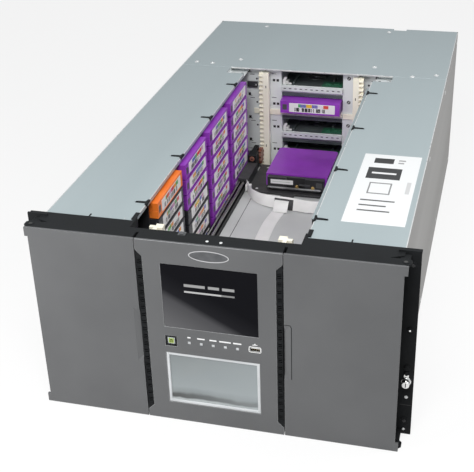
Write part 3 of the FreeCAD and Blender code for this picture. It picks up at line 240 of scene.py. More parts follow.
def mesh_of(sketch, name, *finishes):
    """Mesh made from a sketch, which is freed."""
    mesh = bpy.data.meshes.new(name)
    sketch.to_mesh(mesh)
    sketch.free()
    for item in finishes:
        mesh.materials.append(item)
    return mesh


def seen_directly(graph):
    """One for rays that come from the camera or by way of gloss or glass."""
    path = graph.add("ShaderNodeLightPath")
    gloss = graph.math("MAXIMUM", path.outputs["Is Camera Ray"], path.outputs["Is Glossy Ray"])
    return graph.math("MAXIMUM", gloss, path.outputs["Is Transmission Ray"])


def floor_finish():
    material = bpy.data.materials.new("studio_floor")
    material.use_nodes = True
    graph = Graph(material.node_tree)
    paper = material.node_tree.nodes["Principled BSDF"]
    paper.inputs["Base Color"].default_value = rgb(0.9, 0.9, 0.9)
    paper.inputs["Roughness"].default_value = 0.9
    glow = graph.add("ShaderNodeEmission")
    share = graph.math("MULTIPLY", seen_directly(graph), FLOOR_WHITE)
    mix = graph.add("ShaderNodeMixShader")
    graph.wire(share, mix.inputs["Fac"])
    graph.wire(paper.outputs[0], mix.inputs[1])
    graph.wire(glow.outputs[0], mix.inputs[2])
    graph.wire(mix.outputs[0], material.node_tree.nodes["Material Output"].inputs["Surface"])
    return material


def make_floor():
    sketch = bmesh.new()
    bmesh.ops.create_grid(sketch, x_segments=8, y_segments=8, size=FLOOR_REACH)
    floor = added("floor", mesh_of(sketch, "floor", floor_finish()))


def make_world():
    world = bpy.data.worlds.new("studio")
    bpy.context.scene.world = world
    world.use_nodes = True
    graph = Graph(world.node_tree)
    background = world.node_tree.nodes["Background"]
    background.inputs["Color"].default_value = WORLD_TINT
    strength = graph.ranged(seen_directly(graph), target=WORLD_STRENGTH)
    graph.wire(strength, background.inputs["Strength"])


def soft_lamp(name, place, target, size, power):
    """Lamp of a given size that looks from a place to a target, in metres and watts."""
    lamp = added(name, bpy.data.lights.new(name, "AREA"))
    lamp.data.shape = "RECTANGLE"
    lamp.data.size, lamp.data.size_y = size
    lamp.data.energy = power
    lamp.location = place
    lamp.rotation_euler = (Vector(target) - Vector(place)).to_track_quat("-Z", "Y").to_euler()


make_floor()
make_world()
for lamp_name, settings in LAMPS.items():
    soft_lamp(lamp_name, *settings)
print("floor, world and", len(LAMPS), "soft lamps are set")

# %% [markdown]
# ## Surfaces
# Sheet steel, powder paint and moulded plastic all have a fine grain that breaks up highlights, and slow
# patches where the gloss differs a little. Both come from noise, and because every finish needs them they
# are one node group. A second group gives the dust that settles on faces that look up.

# %% Grain and dust as node groups


def new_group(name, inputs, outputs):
    """Empty shader group with named sockets: (name, socket type, value)."""
    tree = bpy.data.node_groups.new(name, "ShaderNodeTree")
    for label, kind, value in inputs:
        socket = tree.interface.new_socket(label, in_out="INPUT", socket_type=kind)
        if value is not None:
            socket.default_value = value
    for label, kind in outputs:
        tree.interface.new_socket(label, in_out="OUTPUT", socket_type=kind)
    graph = Graph(tree)
    return graph, graph.add("NodeGroupInput").outputs, graph.add("NodeGroupOutput").inputs


def noise(graph, place, scale, detail=2.0):
    node = graph.add("ShaderNodeTexNoise")
    graph.wire(place, node.inputs["Vector"])
    graph.feed(node.inputs["Scale"], scale)
    node.inputs["Detail"].default_value = detail
    return node.outputs["Fac"]


def make_grain_group():
    number = "NodeSocketFloat"
    sizes = [("Place", "NodeSocketVector", None), ("Grain", number, 0.6), ("Patch", number, 45.0)]
    graph, given, result = new_group("fine grain", sizes, [("Height", number), ("Patch", number)])
    fine = graph.math("DIVIDE", 1.0 / MM, given["Grain"])
    slow = graph.math("DIVIDE", 1.0 / MM, given["Patch"])
    graph.wire(noise(graph, given["Place"], fine), result["Height"])
    graph.wire(noise(graph, given["Place"], slow, 3.0), result["Patch"])
    return graph.tree


def make_dust_group():
    sizes = [("Place", "NodeSocketVector", None), ("Amount", "NodeSocketFloat", 0.2)]
    graph, given, result = new_group("settled dust", sizes, [("Dust", "NodeSocketFloat")])
    facing = graph.split(graph.add("ShaderNodeNewGeometry").outputs["Normal"])
    level = graph.math("MAXIMUM", facing["Z"], 0.0)
    specks = graph.math("POWER", noise(graph, given["Place"], 55.0, 6.0), 2.0)
    layer = graph.math("MULTIPLY", graph.math("POWER", level, 3.0), specks)
    graph.wire(graph.math("MULTIPLY", layer, given["Amount"]), result["Dust"])
    return graph.tree


GRAIN = make_grain_group()
DUST = make_dust_group()
print("groups", GRAIN.name, "and", DUST.name)

# %% [markdown]
# A finish is then a handful of values: two close colours that the slow patches mix, a range of roughness,
# the size and height of the grain, and how much the grain is drawn out along one axis, as rolled steel is.

# %% One function for every finish
DUST_COLOUR = rgb(0.62, 0.60, 0.57)
NOISE_MIDDLE = (0.3, 0.7)
BUMP_HEIGHT = 0.1 * MM
PLAIN = (1, 1, 1)
ALONG = (1, 0.06, 1)
ACROSS = (0.06, 1, 1)


def grouped(graph, tree, **values):
    node = graph.add("ShaderNodeGroup", node_tree=tree)
    for name, value in values.items():
        graph.feed(node.inputs[name], value)
    return node.outputs


def spread(graph, share, low, high):
    """Value that runs from low to high as a share runs over the middle of a noise."""
    return graph.ranged(share, NOISE_MIDDLE, (low, high))


def start_finish(name):
    """New material with its graph, its shader and the point of the surface in metres."""
    material = bpy.data.materials.new(name)
    material.use_nodes = True
    graph = Graph(material.node_tree)
    place = graph.add("ShaderNodeTexCoord").outputs["Object"]
    return material, graph, material.node_tree.nodes["Principled BSDF"], place


def roughen(graph, shader, place, rough, grain, patch, bump, stretch=PLAIN):
    """Grain on a shader's normal and roughness; gives the slow patches back."""
    drawn = graph.add("ShaderNodeMapping")
    graph.wire(place, drawn.inputs["Vector"])
    drawn.inputs["Scale"].default_value = stretch
    surface = grouped(graph, GRAIN, Place=drawn.outputs[0], Grain=grain, Patch=patch)
    graph.wire(spread(graph, surface["Patch"], *rough), shader.inputs["Roughness"])
    relief = graph.add("ShaderNodeBump")
    relief.inputs["Strength"].default_value = bump
    relief.inputs["Distance"].default_value = BUMP_HEIGHT
    graph.wire(surface["Height"], relief.inputs["Height"])
    graph.wire(relief.outputs[0], shader.inputs["Normal"])
    return surface["Patch"]


def finish(
    name, first, second, rough, metal=0.0, grain=0.6, patch=45.0, bump=0.25, stretch=PLAIN, dust=0.1,
):
    """Material of two close colours, with a range of roughness, grain and dust."""
    material, graph, shader, place = start_finish(name)
    patches = roughen(graph, shader, place, rough, grain, patch, bump, stretch)
    tone = graph.blend(spread(graph, patches, 0.0, 1.0), rgb(*first), rgb(*second))
    layer = grouped(graph, DUST, Place=place, Amount=dust)["Dust"]
    graph.wire(graph.blend(layer, tone, DUST_COLOUR), shader.inputs["Base Color"])
    shader.inputs["Metallic"].default_value = metal
    return material


def adjust(material, setting, value):
    """Set one more input of a finish's shader."""
    material.node_tree.nodes["Principled BSDF"].inputs[setting].default_value = value


def dress(node, paint):
    """Give a node of the frame another finish."""
    frame["nodes"][node].data.materials[0] = paint


# %% [markdown]
# The metals: bare rolled steel on top, painted steel on the front and the base of the robot, bright turned
# steel on rods and screws, and brushed aluminium. The plastics differ mostly in colour and gloss.

# %% Metals and plastics
TOP_STEEL = finish(
    "top_steel", (0.345, 0.405, 0.418), (0.395, 0.455, 0.468), (0.34, 0.46), 0.25, 0.9, 120, 0.12, ALONG,
    0.03,
)
# Painted shade: the side panels and the rest of the casing sheet are the same steel as the top, given a
# much darker colour because they stand in shade.
SHADED_SIDE_STEEL = finish(
    "shaded_side_steel", (0.145, 0.139, 0.131), (0.18, 0.173, 0.164), (0.36, 0.48), 0.3, 0.9, 120, 0.15, ALONG,
    0.05,
)
FRONT_PAINT = finish(
    "front_paint", (0.106, 0.1075, 0.110), (0.120, 0.1215, 0.124), (0.42, 0.52), 0.0, 0.5, 80, 0.35,
    dust=0.0,
)
adjust(FRONT_PAINT, "Specular IOR Level", 0.25)
# Painted highlight: a light, metallic finish for the rounded edges of the painted front, for the bright
# lines along them.
FRONT_EDGE_HIGHLIGHT = finish("front_edge_highlight", (0.42, 0.425, 0.43), (0.52, 0.525, 0.53), (0.28, 0.36), 0.4, 0.5, 30, 0.2)
BASE_PAINT = finish(
    "base_paint", (0.56, 0.575, 0.565), (0.63, 0.645, 0.635), (0.38, 0.52), 0.1, 0.7, 70, 0.25,
)
BULKHEAD_STEEL = finish(
    "bulkhead_steel", (0.72, 0.75, 0.75), (0.79, 0.82, 0.82), (0.36, 0.5), 0.1, 0.8, 60, 0.15,
)
BRIGHT_STEEL = finish(
    "bright_steel", (0.70, 0.70, 0.69), (0.80, 0.80, 0.79), (0.14, 0.24), 1.0, 0.3, 20, 0.1, ALONG,
)
ALUMINIUM = finish(
    "aluminium", (0.55, 0.55, 0.56), (0.66, 0.66, 0.67), (0.26, 0.38), 0.9, 0.5, 30, 0.2, ACROSS,
)
BRASS = finish("brass", (0.60, 0.42, 0.16), (0.72, 0.52, 0.22), (0.2, 0.3), 0.9, 0.3, 8, 0.1)
BLACK_PLASTIC = finish(
    "black_plastic", (0.016, 0.016, 0.018), (0.026, 0.026, 0.028), (0.38, 0.52), 0.0, 0.4, 40, 0.4,
)
FRAME_BLACK = finish(
    "frame_black", (0.010, 0.0107, 0.0113), (0.015, 0.016, 0.0172), (0.5, 0.62), 0.0, 0.4, 40, 0.4,
    dust=0.0,
)
adjust(FRAME_BLACK, "Specular IOR Level", 0.08)
# Dark grey: the write tabs and raised fields have it, and on the rounded edges of black parts it is a
# painted highlight.
DARK_GREY_AND_EDGE_HIGHLIGHT = finish(
    "dark_grey_and_edge_highlight", (0.055, 0.056, 0.06), (0.085, 0.086, 0.09), (0.3, 0.42), 0.0, 0.4, 25, 0.3,
)
MAGAZINE_BLACK = finish(
    "magazine_black", (0.020, 0.020, 0.024), (0.034, 0.034, 0.038), (0.42, 0.55), 0.0, 0.5, 40, 0.4,
)
PURPLE = finish(
    "purple_plastic", (0.255, 0.036, 0.43), (0.32, 0.052, 0.53), (0.30, 0.42), 0.0, 0.5, 35, 0.3, dust=0.04,
)
TAPE_BLACK = finish(
    "tape_black", (0.018, 0.018, 0.022), (0.030, 0.030, 0.036), (0.32, 0.44), 0.0, 0.5, 35, 0.3,
)
ORANGE = finish(
    "orange_plastic", (0.90, 0.18, 0.02), (0.96, 0.24, 0.035), (0.32, 0.44), 0.0, 0.5, 35, 0.3, dust=0.04,
)
CREAM = finish("cream_plastic", (0.90, 0.85, 0.70), (0.94, 0.90, 0.77), (0.36, 0.48), 0.0, 0.5, 30, 0.3)
BROWN = finish("brown_plastic", (0.16, 0.055, 0.035), (0.24, 0.085, 0.055), (0.36, 0.48), 0.0, 0.4, 15, 0.3)
WHITE_PLASTIC = finish(
    "white_plastic", (0.66, 0.66, 0.65), (0.76, 0.76, 0.75), (0.36, 0.46), 0.0, 0.5, 20, 0.2,
)
RIBBON = finish("ribbon", (0.82, 0.82, 0.80), (0.88, 0.88, 0.86), (0.42, 0.55), 0.0, 0.8, 25, 0.15)
RUBBER = finish("rubber", (0.014, 0.014, 0.014), (0.024, 0.024, 0.023), (0.6, 0.75), 0.0, 0.5, 12, 0.5)
CIRCUIT_GREEN = finish(
    "circuit_green", (0.01, 0.09, 0.045), (0.02, 0.15, 0.075), (0.3, 0.5), 0.0, 1.5, 6, 0.3,
)
PALE_SURROUND = finish(
    "pale_surround", (0.50, 0.515, 0.525), (0.60, 0.615, 0.625), (0.34, 0.44), 0.1, 0.4, 30, 0.2,
)
KEY_GREY = finish("key_grey", (0.55, 0.60, 0.57), (0.64, 0.70, 0.66), (0.3, 0.4), 0.0, 0.3, 6, 0.2)
PAPER = finish("paper", (0.80, 0.80, 0.80), (0.86, 0.86, 0.86), (0.45, 0.6), 0.0, 0.5, 30, 0.15, dust=0.03)
SLOT_FINISH = {
    "body_metal": SHADED_SIDE_STEEL, "front_grey": FRONT_PAINT, "black_plastic": BLACK_PLASTIC,
    "screen_black": BLACK_PLASTIC, "window_surround": PALE_SURROUND, "window_glass": PALE_SURROUND,
    "button_key": KEY_GREY, "light_pipe": WHITE_PLASTIC, "bright_steel": BRIGHT_STEEL,
    "drive_case": ALUMINIUM, "drive_face": BULKHEAD_STEEL, "purple_plastic": PURPLE,
    "black_tape": TAPE_BLACK, "orange_plastic": ORANGE, "magazine_plastic": MAGAZINE_BLACK,
    "cream_plastic": CREAM, "brown_plastic": BROWN, "base_grey": BASE_PAINT, "ribbon_white": RIBBON,
    "belt_rubber": RUBBER, "rail_aluminium": ALUMINIUM,
}
SLOT_OF = {part["node"]: part["material_slot"] for part in frame["record"]["subparts"]}
BODY_OF = {node: body for body, nodes in frame["record"]["behaviour"]["bodies"].items() for node in nodes}
for node, item in frame["nodes"].items():
    item.data.materials.clear()
    item.data.materials.append(SLOT_FINISH[SLOT_OF[node]])
for node in ("drive_bulkhead", "magazine_rails"):
    dress(node, BULKHEAD_STEEL)
for node in ("vent_grilles", "lift_end_blocks", "left_guide_beam", "hinge_pins"):
    dress(node, FRAME_BLACK)
dress("status_lights", PALE_SURROUND)
print("finishes", len(SLOT_FINISH), "on", len(frame["nodes"]), "nodes")

# %% [markdown]
# ## Rounded edges
# No real edge is perfectly sharp: a folded sheet or a moulding shows a thin bright line where it turns. The
# plain solids become finished pieces by merging their triangles into whole faces and rounding the sharp
# edges. On the painted and black parts the rounded strip gets a second, lighter finish: a painted
# highlight.

# %% Soften the edges of CAD solids
EDGE_STEPS = 2
SHARP_ANGLE = math.radians(40)
FLAT_ANGLE = math.radians(1)
MERGE_REACH = 0.005 * MM


def evaluated(carrier):
    """Plain mesh of an object with its modifiers; the object is removed."""
    graph = bpy.context.evaluated_depsgraph_get()
    final = carrier.evaluated_get(graph)
    mesh = bpy.data.meshes.new_from_object(final, preserve_all_data_layers=True, depsgraph=graph)
    bpy.data.objects.remove(carrier)
    return mesh


def rounded(mesh, width, strip=-1):
    """Mesh with its sharp edges rounded; the strip may take another material slot."""
    carrier = added("carrier", mesh)
    bevel = carrier.modifiers.new("edges", "BEVEL")
    bevel.width = width * MM
    bevel.segments = EDGE_STEPS
    bevel.limit_method = "ANGLE"
    bevel.angle_limit = SHARP_ANGLE
    bevel.material = strip
    bevel.use_clamp_overlap = True
    return evaluated(carrier)


def show(mesh, name, body, nodes=()):
    """Finished piece on a body of the frame, standing for some of its nodes."""
    mesh.name = name
    piece = added(name, mesh)
    if body:
        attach(piece, body)
    if nodes:
        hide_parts(*nodes)
    return piece


def merged(node):
    """Sketch of a node with its triangles joined into whole faces."""
    sketch = bmesh.new()
    sketch.from_mesh(frame["nodes"][node].data)
    bmesh.ops.remove_doubles(sketch, verts=sketch.verts, dist=MERGE_REACH)
    bmesh.ops.dissolve_limit(sketch, angle_limit=FLAT_ANGLE, verts=sketch.verts, edges=sketch.edges)
    return sketch


def soften(node, width, *finishes):
    """Rounded copy of a node; a second finish goes on the rounded strips."""
    mesh = mesh_of(merged(node), node, *finishes)
    show(rounded(mesh, width, len(finishes) - 1), node + "_soft", BODY_OF[node], [node])


# Painted highlight: where a row lists two finishes, the second, lighter one goes on the rounded strips.
SOFT_NODES = (
    (0.7, [FRONT_PAINT, FRONT_EDGE_HIGHLIGHT], "centre_fascia"),
    (0.5, [FRONT_PAINT, FRONT_EDGE_HIGHLIGHT], "left_door_panel", "right_door_panel"),
    (0.35, [TOP_STEEL], "left_top_panel", "right_top_panel", "rear_top_cover"),
    (0.4, [FRAME_BLACK], "front_frame"),
    (0.4, [BLACK_PLASTIC, DARK_GREY_AND_EDGE_HIGHLIGHT], "picker_carriage", "picker_tray", "gripper"),
    (0.4, [FRAME_BLACK, BLACK_PLASTIC], "lift_end_blocks", "left_guide_beam"),
    (0.3, [FRAME_BLACK], "left_door_liner", "right_door_liner", "centre_housing"),
    (0.3, [BLACK_PLASTIC, DARK_GREY_AND_EDGE_HIGHLIGHT], "magazine_fronts"),
)
for width, finishes, *nodes in SOFT_NODES:
    for node in nodes:
        soften(node, width, *finishes)
for node in (
    "window_frame", "power_button", "front_lift_racks", "rear_lift_racks", "right_guide_rail",
    "drive_bulkhead",
):
    soften(node, 0.3, frame["nodes"][node].data.materials[0])

# %% [markdown]
# ## Shapes for the small pieces
# Small hardware is built from a few turned and milled shapes. Each helper adds one closed shape to a
# sketch, in millimetres from the front face, so that a whole screw or socket can be collected before its
# edges are rounded.

# %% Blocks, rods and plates
AXES = {"x": Vector((1, 0, 0)), "y": Vector((0, 1, 0)), "z": Vector((0, 0, 1))}


def bridge(sketch, rings, closed=False):
    """Faces between rings of points that follow one another."""
    faces = []
    for low, high in zip(rings, rings[1:] + rings[:1] if closed else rings[1:]):
        for index in range(len(low)):
            after = (index + 1) % len(low)
            faces.append(sketch.faces.new((low[index], low[after], high[after], high[index])))
    return faces


def settle(sketch, faces, layer):
    """Turn the faces of a closed shape outwards and give them their finish."""
    for face in faces:
        face.material_index = layer
    bmesh.ops.recalc_face_normals(sketch, faces=faces)


def span(middle, half):
    """Bounds at the same distance on both sides of a middle."""
    return (middle - half, middle + half)


def circle_steps(sides):
    """Cosine and sine of so many even steps round a circle."""
    turns = [2 * math.pi * number / sides for number in range(sides)]
    return [(math.cos(turn), math.sin(turn)) for turn in turns]


def add_prism(sketch, loop, depth, layer=0):
    """Closed prism: a loop of points and the vector that it is drawn along."""
    low = [sketch.verts.new(point) for point in loop]
    high = [sketch.verts.new(point + depth) for point in loop]
    ends = [sketch.faces.new(low[::-1]), sketch.faces.new(high)]
    settle(sketch, ends + bridge(sketch, [low, high]), layer)


def add_block(sketch, x, y, z, layer=0):
    """Block between two bounds on each axis."""
    loop = [at(x[0], y[0], z[0]), at(x[1], y[0], z[0]), at(x[1], y[1], z[0]), at(x[0], y[1], z[0])]
    add_prism(sketch, loop, Vector((0, 0, (z[1] - z[0]) * MM)), layer)


def side_block(sketch, side, x, y, z, layer=0):
    """Block to the right where the side is 1, or its mirror image where it is -1."""
    add_block(sketch, sorted((side * x[0], side * x[1])), y, z, layer)


def add_rod(sketch, centre, axis, radius, length, layer=0, sides=24, tip=None):
    """Round bar, or a cone where the tip has another radius."""
    along = AXES[axis]
    across = AXES["z"] if axis != "z" else AXES["x"]
    side = along.cross(across)
    tip = radius if tip is None else tip
    rings = []
    for size, shift in ((radius, 0.0), (tip, length)):
        ring = []
        for cosine, sine in circle_steps(sides):
            offset = (cosine * across + sine * side) * size * MM
            ring.append(sketch.verts.new(at(*centre) + along * shift * MM + offset))
        rings.append(ring)
    ends = [sketch.faces.new(rings[0][::-1]), sketch.faces.new(rings[1])]
    around = bridge(sketch, rings)
    for face in around:
        face.smooth = True
    settle(sketch, ends + around, layer)


def plate_loop(x, z, y, corner):
    """Corners of an upright plate in the plane y, with bevelled or round corners."""
    spots = []
    for cx, cz, start in ((x[1], z[1], 0), (x[0], z[1], 90), (x[0], z[0], 180), (x[1], z[0], 270)):
        inner_x = cx - math.copysign(corner, cx - sum(x) / 2)
        inner_z = cz - math.copysign(corner, cz - sum(z) / 2)
        for step in range(5):
            turn = math.radians(start + 22.5 * step)
            spots.append(at(inner_x + corner * math.cos(turn), y, inner_z + corner * math.sin(turn)))
    return spots


def add_plate(sketch, x, z, y, thick, corner=1.0, layer=0):
    """Upright plate with round corners, from y towards the rear."""
    add_prism(sketch, plate_loop(x, z, y, corner), Vector((0, thick * MM, 0)), layer)


def keep(sketch, name, finishes, body, edge=0.2, nodes=()):
    """Round the edges of a sketch and keep it as a piece."""
    return show(rounded(mesh_of(sketch, name, *finishes), edge), name, body, nodes)


print("shape helpers are ready")

# %% [markdown]
# ## Cartridges
# Eighty cartridges stand in the magazines. One is modelled: two half shells that meet at a seam, a shallow
# field on top, and two bevelled corners at the far end. Geometry Nodes then put a copy at every place that
# the frame gives. The tree takes the shape and its finish as inputs, reads how each copy is turned from an
# attribute, and stores a random number with each copy, which the labels use to differ from one another.

# %% A tree that repeats a shape
CHANCE_SEED = 7


def make_repeat_tree():
    tree = bpy.data.node_groups.new("repeat", "GeometryNodeTree")
    graph = Graph(tree)
    tree.interface.new_socket("Places", in_out="INPUT", socket_type="NodeSocketGeometry")
    tree.interface.new_socket("Shape", in_out="INPUT", socket_type="NodeSocketObject")
    tree.interface.new_socket("Finish", in_out="INPUT", socket_type="NodeSocketMaterial")
    tree.interface.new_socket("Copies", in_out="OUTPUT", socket_type="NodeSocketGeometry")
    given = graph.add("NodeGroupInput").outputs
    shape = graph.add("GeometryNodeObjectInfo")
    graph.wire(given["Shape"], shape.inputs["Object"])
    turn = graph.add("GeometryNodeInputNamedAttribute", data_type="FLOAT_VECTOR")
    turn.inputs["Name"].default_value = "turn"
    facing = graph.add("FunctionNodeEulerToRotation")
    graph.wire(turn.outputs["Attribute"], facing.inputs[0])
    copies = graph.add("GeometryNodeInstanceOnPoints")
    graph.wire(given["Places"], copies.inputs["Points"])
    graph.wire(shape.outputs["Geometry"], copies.inputs["Instance"])
    graph.wire(facing.outputs[0], copies.inputs["Rotation"])
    chance = graph.add("FunctionNodeRandomValue", data_type="FLOAT")
    chance.inputs["Seed"].default_value = CHANCE_SEED
    marked = graph.add("GeometryNodeStoreNamedAttribute", data_type="FLOAT", domain="INSTANCE")
    marked.inputs["Name"].default_value = "chance"
    graph.wire(copies.outputs[0], marked.inputs["Geometry"])
    graph.wire([item for item in chance.outputs if item.enabled][0], marked.inputs["Value"])
    whole = graph.add("GeometryNodeRealizeInstances")
    graph.wire(marked.outputs[0], whole.inputs["Geometry"])
    painted = graph.add("GeometryNodeSetMaterial")
    graph.wire(whole.outputs[0], painted.inputs["Geometry"])
    graph.wire(given["Finish"], painted.inputs["Material"])
    graph.wire(painted.outputs[0], graph.add("NodeGroupOutput").inputs[0])
    return tree


REPEAT = make_repeat_tree()
SOCKETS = {item.name: item.identifier for item in REPEAT.interface.items_tree}


def repeat(name, shape, places, paint):
    """Mesh with a copy of a shape at each place: a point and its turns in degrees."""
    seeds = bpy.data.meshes.new(name + "_places")
    seeds.from_pydata([tuple(point) for point, turn in places], [], [])
    turns = seeds.attributes.new("turn", "FLOAT_VECTOR", "POINT")
    for number, (point, turn) in enumerate(places):
        turns.data[number].vector = [math.radians(angle) for angle in turn]
    model = added(name + "_model", shape)
    carrier = added(name + "_carrier", seeds)
    modifier = carrier.modifiers.new("repeat", "NODES")
    modifier.node_group = REPEAT
    modifier[SOCKETS["Shape"]] = model
    modifier[SOCKETS["Finish"]] = paint
    mesh = evaluated(carrier)
    bpy.data.objects.remove(model)
    return mesh


print("inputs of the tree", SOCKETS)

# %% The shape of one cartridge
TAPE_WIDE, TAPE_LONG, TAPE_HIGH = 102.0, 105.4, 21.5
TAPE_CORNER = 4.0
SEAM_LOW, SEAM_HIGH, SEAM_DEEP = 10.4, 11.1, 0.5
FIELD_INSET, FIELD_DEEP = 9, 0.35
TAPE_EDGE = 0.45


def tape_outline(inset):
    half = TAPE_WIDE / 2 - inset
    far = TAPE_LONG - inset
    return [
        (-half, inset), (half, inset), (half, far - TAPE_CORNER), (half - TAPE_CORNER, far),
        (TAPE_CORNER - half, far), (-half, far - TAPE_CORNER),
    ]


def cartridge_shape():
    """Cartridge with its label end at the origin, lying along +y."""
    sketch = bmesh.new()
    seam = [(0, SEAM_LOW), (SEAM_DEEP, SEAM_LOW), (SEAM_DEEP, SEAM_HIGH), (0, SEAM_HIGH)]
    rings = []
    for inset, up in [(0, 0), *seam, (0, TAPE_HIGH)]:
        rings.append([sketch.verts.new(Vector((x, y, up)) * MM) for x, y in tape_outline(inset)])
    bridge(sketch, rings)
    bottom = sketch.faces.new(rings[0][::-1])
    top = sketch.faces.new(rings[-1])
    field = bmesh.ops.inset_region(
        sketch, faces=[top, bottom], thickness=FIELD_INSET * MM, depth=-FIELD_DEEP * MM,
    )
    print("cartridge field has", len(field["faces"]), "faces round it")
    bmesh.ops.recalc_face_normals(sketch, faces=sketch.faces)
    return rounded(mesh_of(sketch, "cartridge"), TAPE_EDGE)


CARTRIDGE = cartridge_shape()


def by_place(box):
    """Lowest corner of a box without its last digits, to sort by."""
    return [round(value, 2) for value in box[0]]


def islands(node):
    """Lowest and highest corners of each separate solid of a node in millimetres, sorted by place."""
    sketch = merged(node)
    left = set(sketch.verts)
    found = []
    while left:
        group, edge = set(), [left.pop()]
        while edge:
            vert = edge.pop()
            group.add(vert)
            for link in vert.link_edges:
                other = link.other_vert(vert)
                if other in left:
                    left.discard(other)
                    edge.append(other)
        points = [(vert.co - Vector((0, CAD_LOW.y, 0))) / MM for vert in group]
        low = [min(point[axis] for point in points) for axis in range(3)]
        high = [max(point[axis] for point in points) for axis in range(3)]
        found.append((low, high))
    sketch.free()
    return sorted(found, key=by_place)


def tape_place(low, high):
    """Where the label end of a cartridge is, and how it is turned."""
    middle = (low[1] + high[1]) / 2
    if high[0] < 0:
        return at(high[0], middle, low[2]), (0, 0, 90)
    if low[0] > 0:
        return at(low[0], middle, low[2]), (0, 0, -90)
    return at(0, low[1], low[2]), (0, 0, 0)


TAPES = {
    "purple_cartridges": PURPLE, "black_cartridges": TAPE_BLACK, "cleaning_cartridge": ORANGE,
    "picked_cartridge": PURPLE,
}
TAPE_PLACES = {node: [tape_place(*corner) for corner in islands(node)] for node in TAPES}
for node, paint in TAPES.items():
    shells = repeat(node, CARTRIDGE, TAPE_PLACES[node], paint)
    show(shells, node + "_shells", BODY_OF[node], [node])
    print(node, len(TAPE_PLACES[node]))

# %% [markdown]
# Every cartridge has a paper label on its front: a row of coloured squares over a row of bars. The pattern
# follows the label, so each point of the label stores where it is, from 0 to 1 both ways, and the material
# reads that.

# %% Label finish
CHANCE_SPREAD = 91.7
TILE_COUNT, BAR_COUNT = 8.0, 64.0


def label_finish():
    material, graph, shader, place = start_finish("tape_label")
    roughen(graph, shader, place, (0.35, 0.5), 0.4, 20, 0.1)
    spot = graph.add("ShaderNodeAttribute", attribute_name="spot")
    chance = graph.add("ShaderNodeAttribute", attribute_name="chance")
    axes = graph.split(spot.outputs["Vector"])
    along, up = axes["X"], axes["Y"]
    seed = graph.math("MULTIPLY", chance.outputs["Fac"], CHANCE_SPREAD)

    def drawn(count, shift):
        """Random value for each of so many columns of the label."""
        pair = graph.add("ShaderNodeCombineXYZ")
        graph.wire(graph.math("FLOOR", graph.math("MULTIPLY", along, count)), pair.inputs["X"])
        graph.wire(graph.math("ADD", seed, shift), pair.inputs["Y"])
        node = graph.add("ShaderNodeTexWhiteNoise", noise_dimensions="2D")
        graph.wire(pair.outputs[0], node.inputs["Vector"])
        return node.outputs["Value"]

    tiles = graph.steps(drawn(TILE_COUNT, 0.0), [
        (0.0, rgb(0.74, 0.05, 0.05)), (0.14, rgb(0.80, 0.55, 0.05)), (0.28, rgb(0.10, 0.42, 0.12)),
        (0.42, rgb(0.08, 0.14, 0.52)), (0.56, rgb(0.80, 0.80, 0.80)), (0.72, rgb(0.62, 0.30, 0.50)),
        (0.86, rgb(0.85, 0.30, 0.05)),
    ])
    tiles.color_ramp.interpolation = "CONSTANT"
    inside = graph.within(along, 0.2, 0.86)
    upper = graph.math("MULTIPLY", inside, graph.within(up, 0.56, 0.92))
    lower = graph.math("MULTIPLY", graph.within(along, 0.12, 0.80), graph.within(up, 0.08, 0.50))
    bars = graph.math("MULTIPLY", lower, graph.math("GREATER_THAN", drawn(BAR_COUNT, 5.0), 0.42))
    tone = graph.blend(upper, rgb(0.85, 0.84, 0.83), tiles.outputs["Color"])
    graph.wire(graph.blend(bars, tone, rgb(0.03, 0.03, 0.03)), shader.inputs["Base Color"])
    return material


LABEL = label_finish()

# %% Labels and write tabs
LABEL_X, LABEL_Z, LABEL_THICK = (-35.5, 42.9), (2.7, 18.7), 0.2
TAB_X, TAB_Z, TAB_THICK = (-47.0, -39.5), (6.0, 15.5), 0.15


def flat_sheet(x, z, thick, corner):
    """Thin upright sheet at the origin, which stores where each point is on it."""
    sketch = bmesh.new()
    loop = [point - at(0, 0, 0) for point in plate_loop(x, z, -thick, corner)]
    add_prism(sketch, loop, Vector((0, thick * MM, 0)))
    mesh = mesh_of(sketch, "sheet")
    spots = mesh.attributes.new("spot", "FLOAT_VECTOR", "POINT")
    for vert in mesh.vertices:
        u = (vert.co.x / MM - x[0]) / (x[1] - x[0])
        v = (vert.co.z / MM - z[0]) / (z[1] - z[0])
        spots.data[vert.index].vector = (u, v, 0)
    return mesh


LABEL_SHEET = flat_sheet(LABEL_X, LABEL_Z, LABEL_THICK, 1.2)
TAB_SHEET = flat_sheet(TAB_X, TAB_Z, TAB_THICK, 0.8)
for node in TAPES:
    labels = repeat(node + "_labels", LABEL_SHEET, TAPE_PLACES[node], LABEL)
    show(labels, node + "_labels", BODY_OF[node])
    tabs = repeat(node + "_tabs", TAB_SHEET, TAPE_PLACES[node], DARK_GREY_AND_EDGE_HIGHLIGHT)
    show(tabs, node + "_tabs", BODY_OF[node])
print("labels on", sum(len(places) for places in TAPE_PLACES.values()), "cartridges")

# %% [markdown]
# ## The front
# The screen shows a dim picture that is lighter towards its lower left corner. The picture is a display, so
# it glows a little. It is drawn by comparing the point of the surface with bounds: first a slope for the
# gradient, then plain bars that stand for a start-up picture. The pane of the window is treated the same
# way, with a dark band near its foot.

# %% Screen and window pane
SCREEN_BARS = (
    ((0.25, 0.75), (0.575, 0.60), 0.30),
    ((0.25, 0.62), (0.575, 0.60), 0.62),
    ((0.25, 0.46), (0.66, 0.70), 0.42),
    ((0.49, 0.60), (0.66, 0.70), 0.42),
    ((0.63, 0.75), (0.66, 0.70), 0.42),
)
SCREEN_GLOW = 0.9


def with_patches(graph, tone, u, v, patches):
    """Colour with plain grey rectangles drawn on it: bounds across, bounds up and shade."""
    for wide, tall, shade in patches:
        inside = graph.math("MULTIPLY", graph.within(u, *wide), graph.within(v, *tall))
        tone = graph.blend(inside, tone, rgb(shade, shade, shade))
    return tone


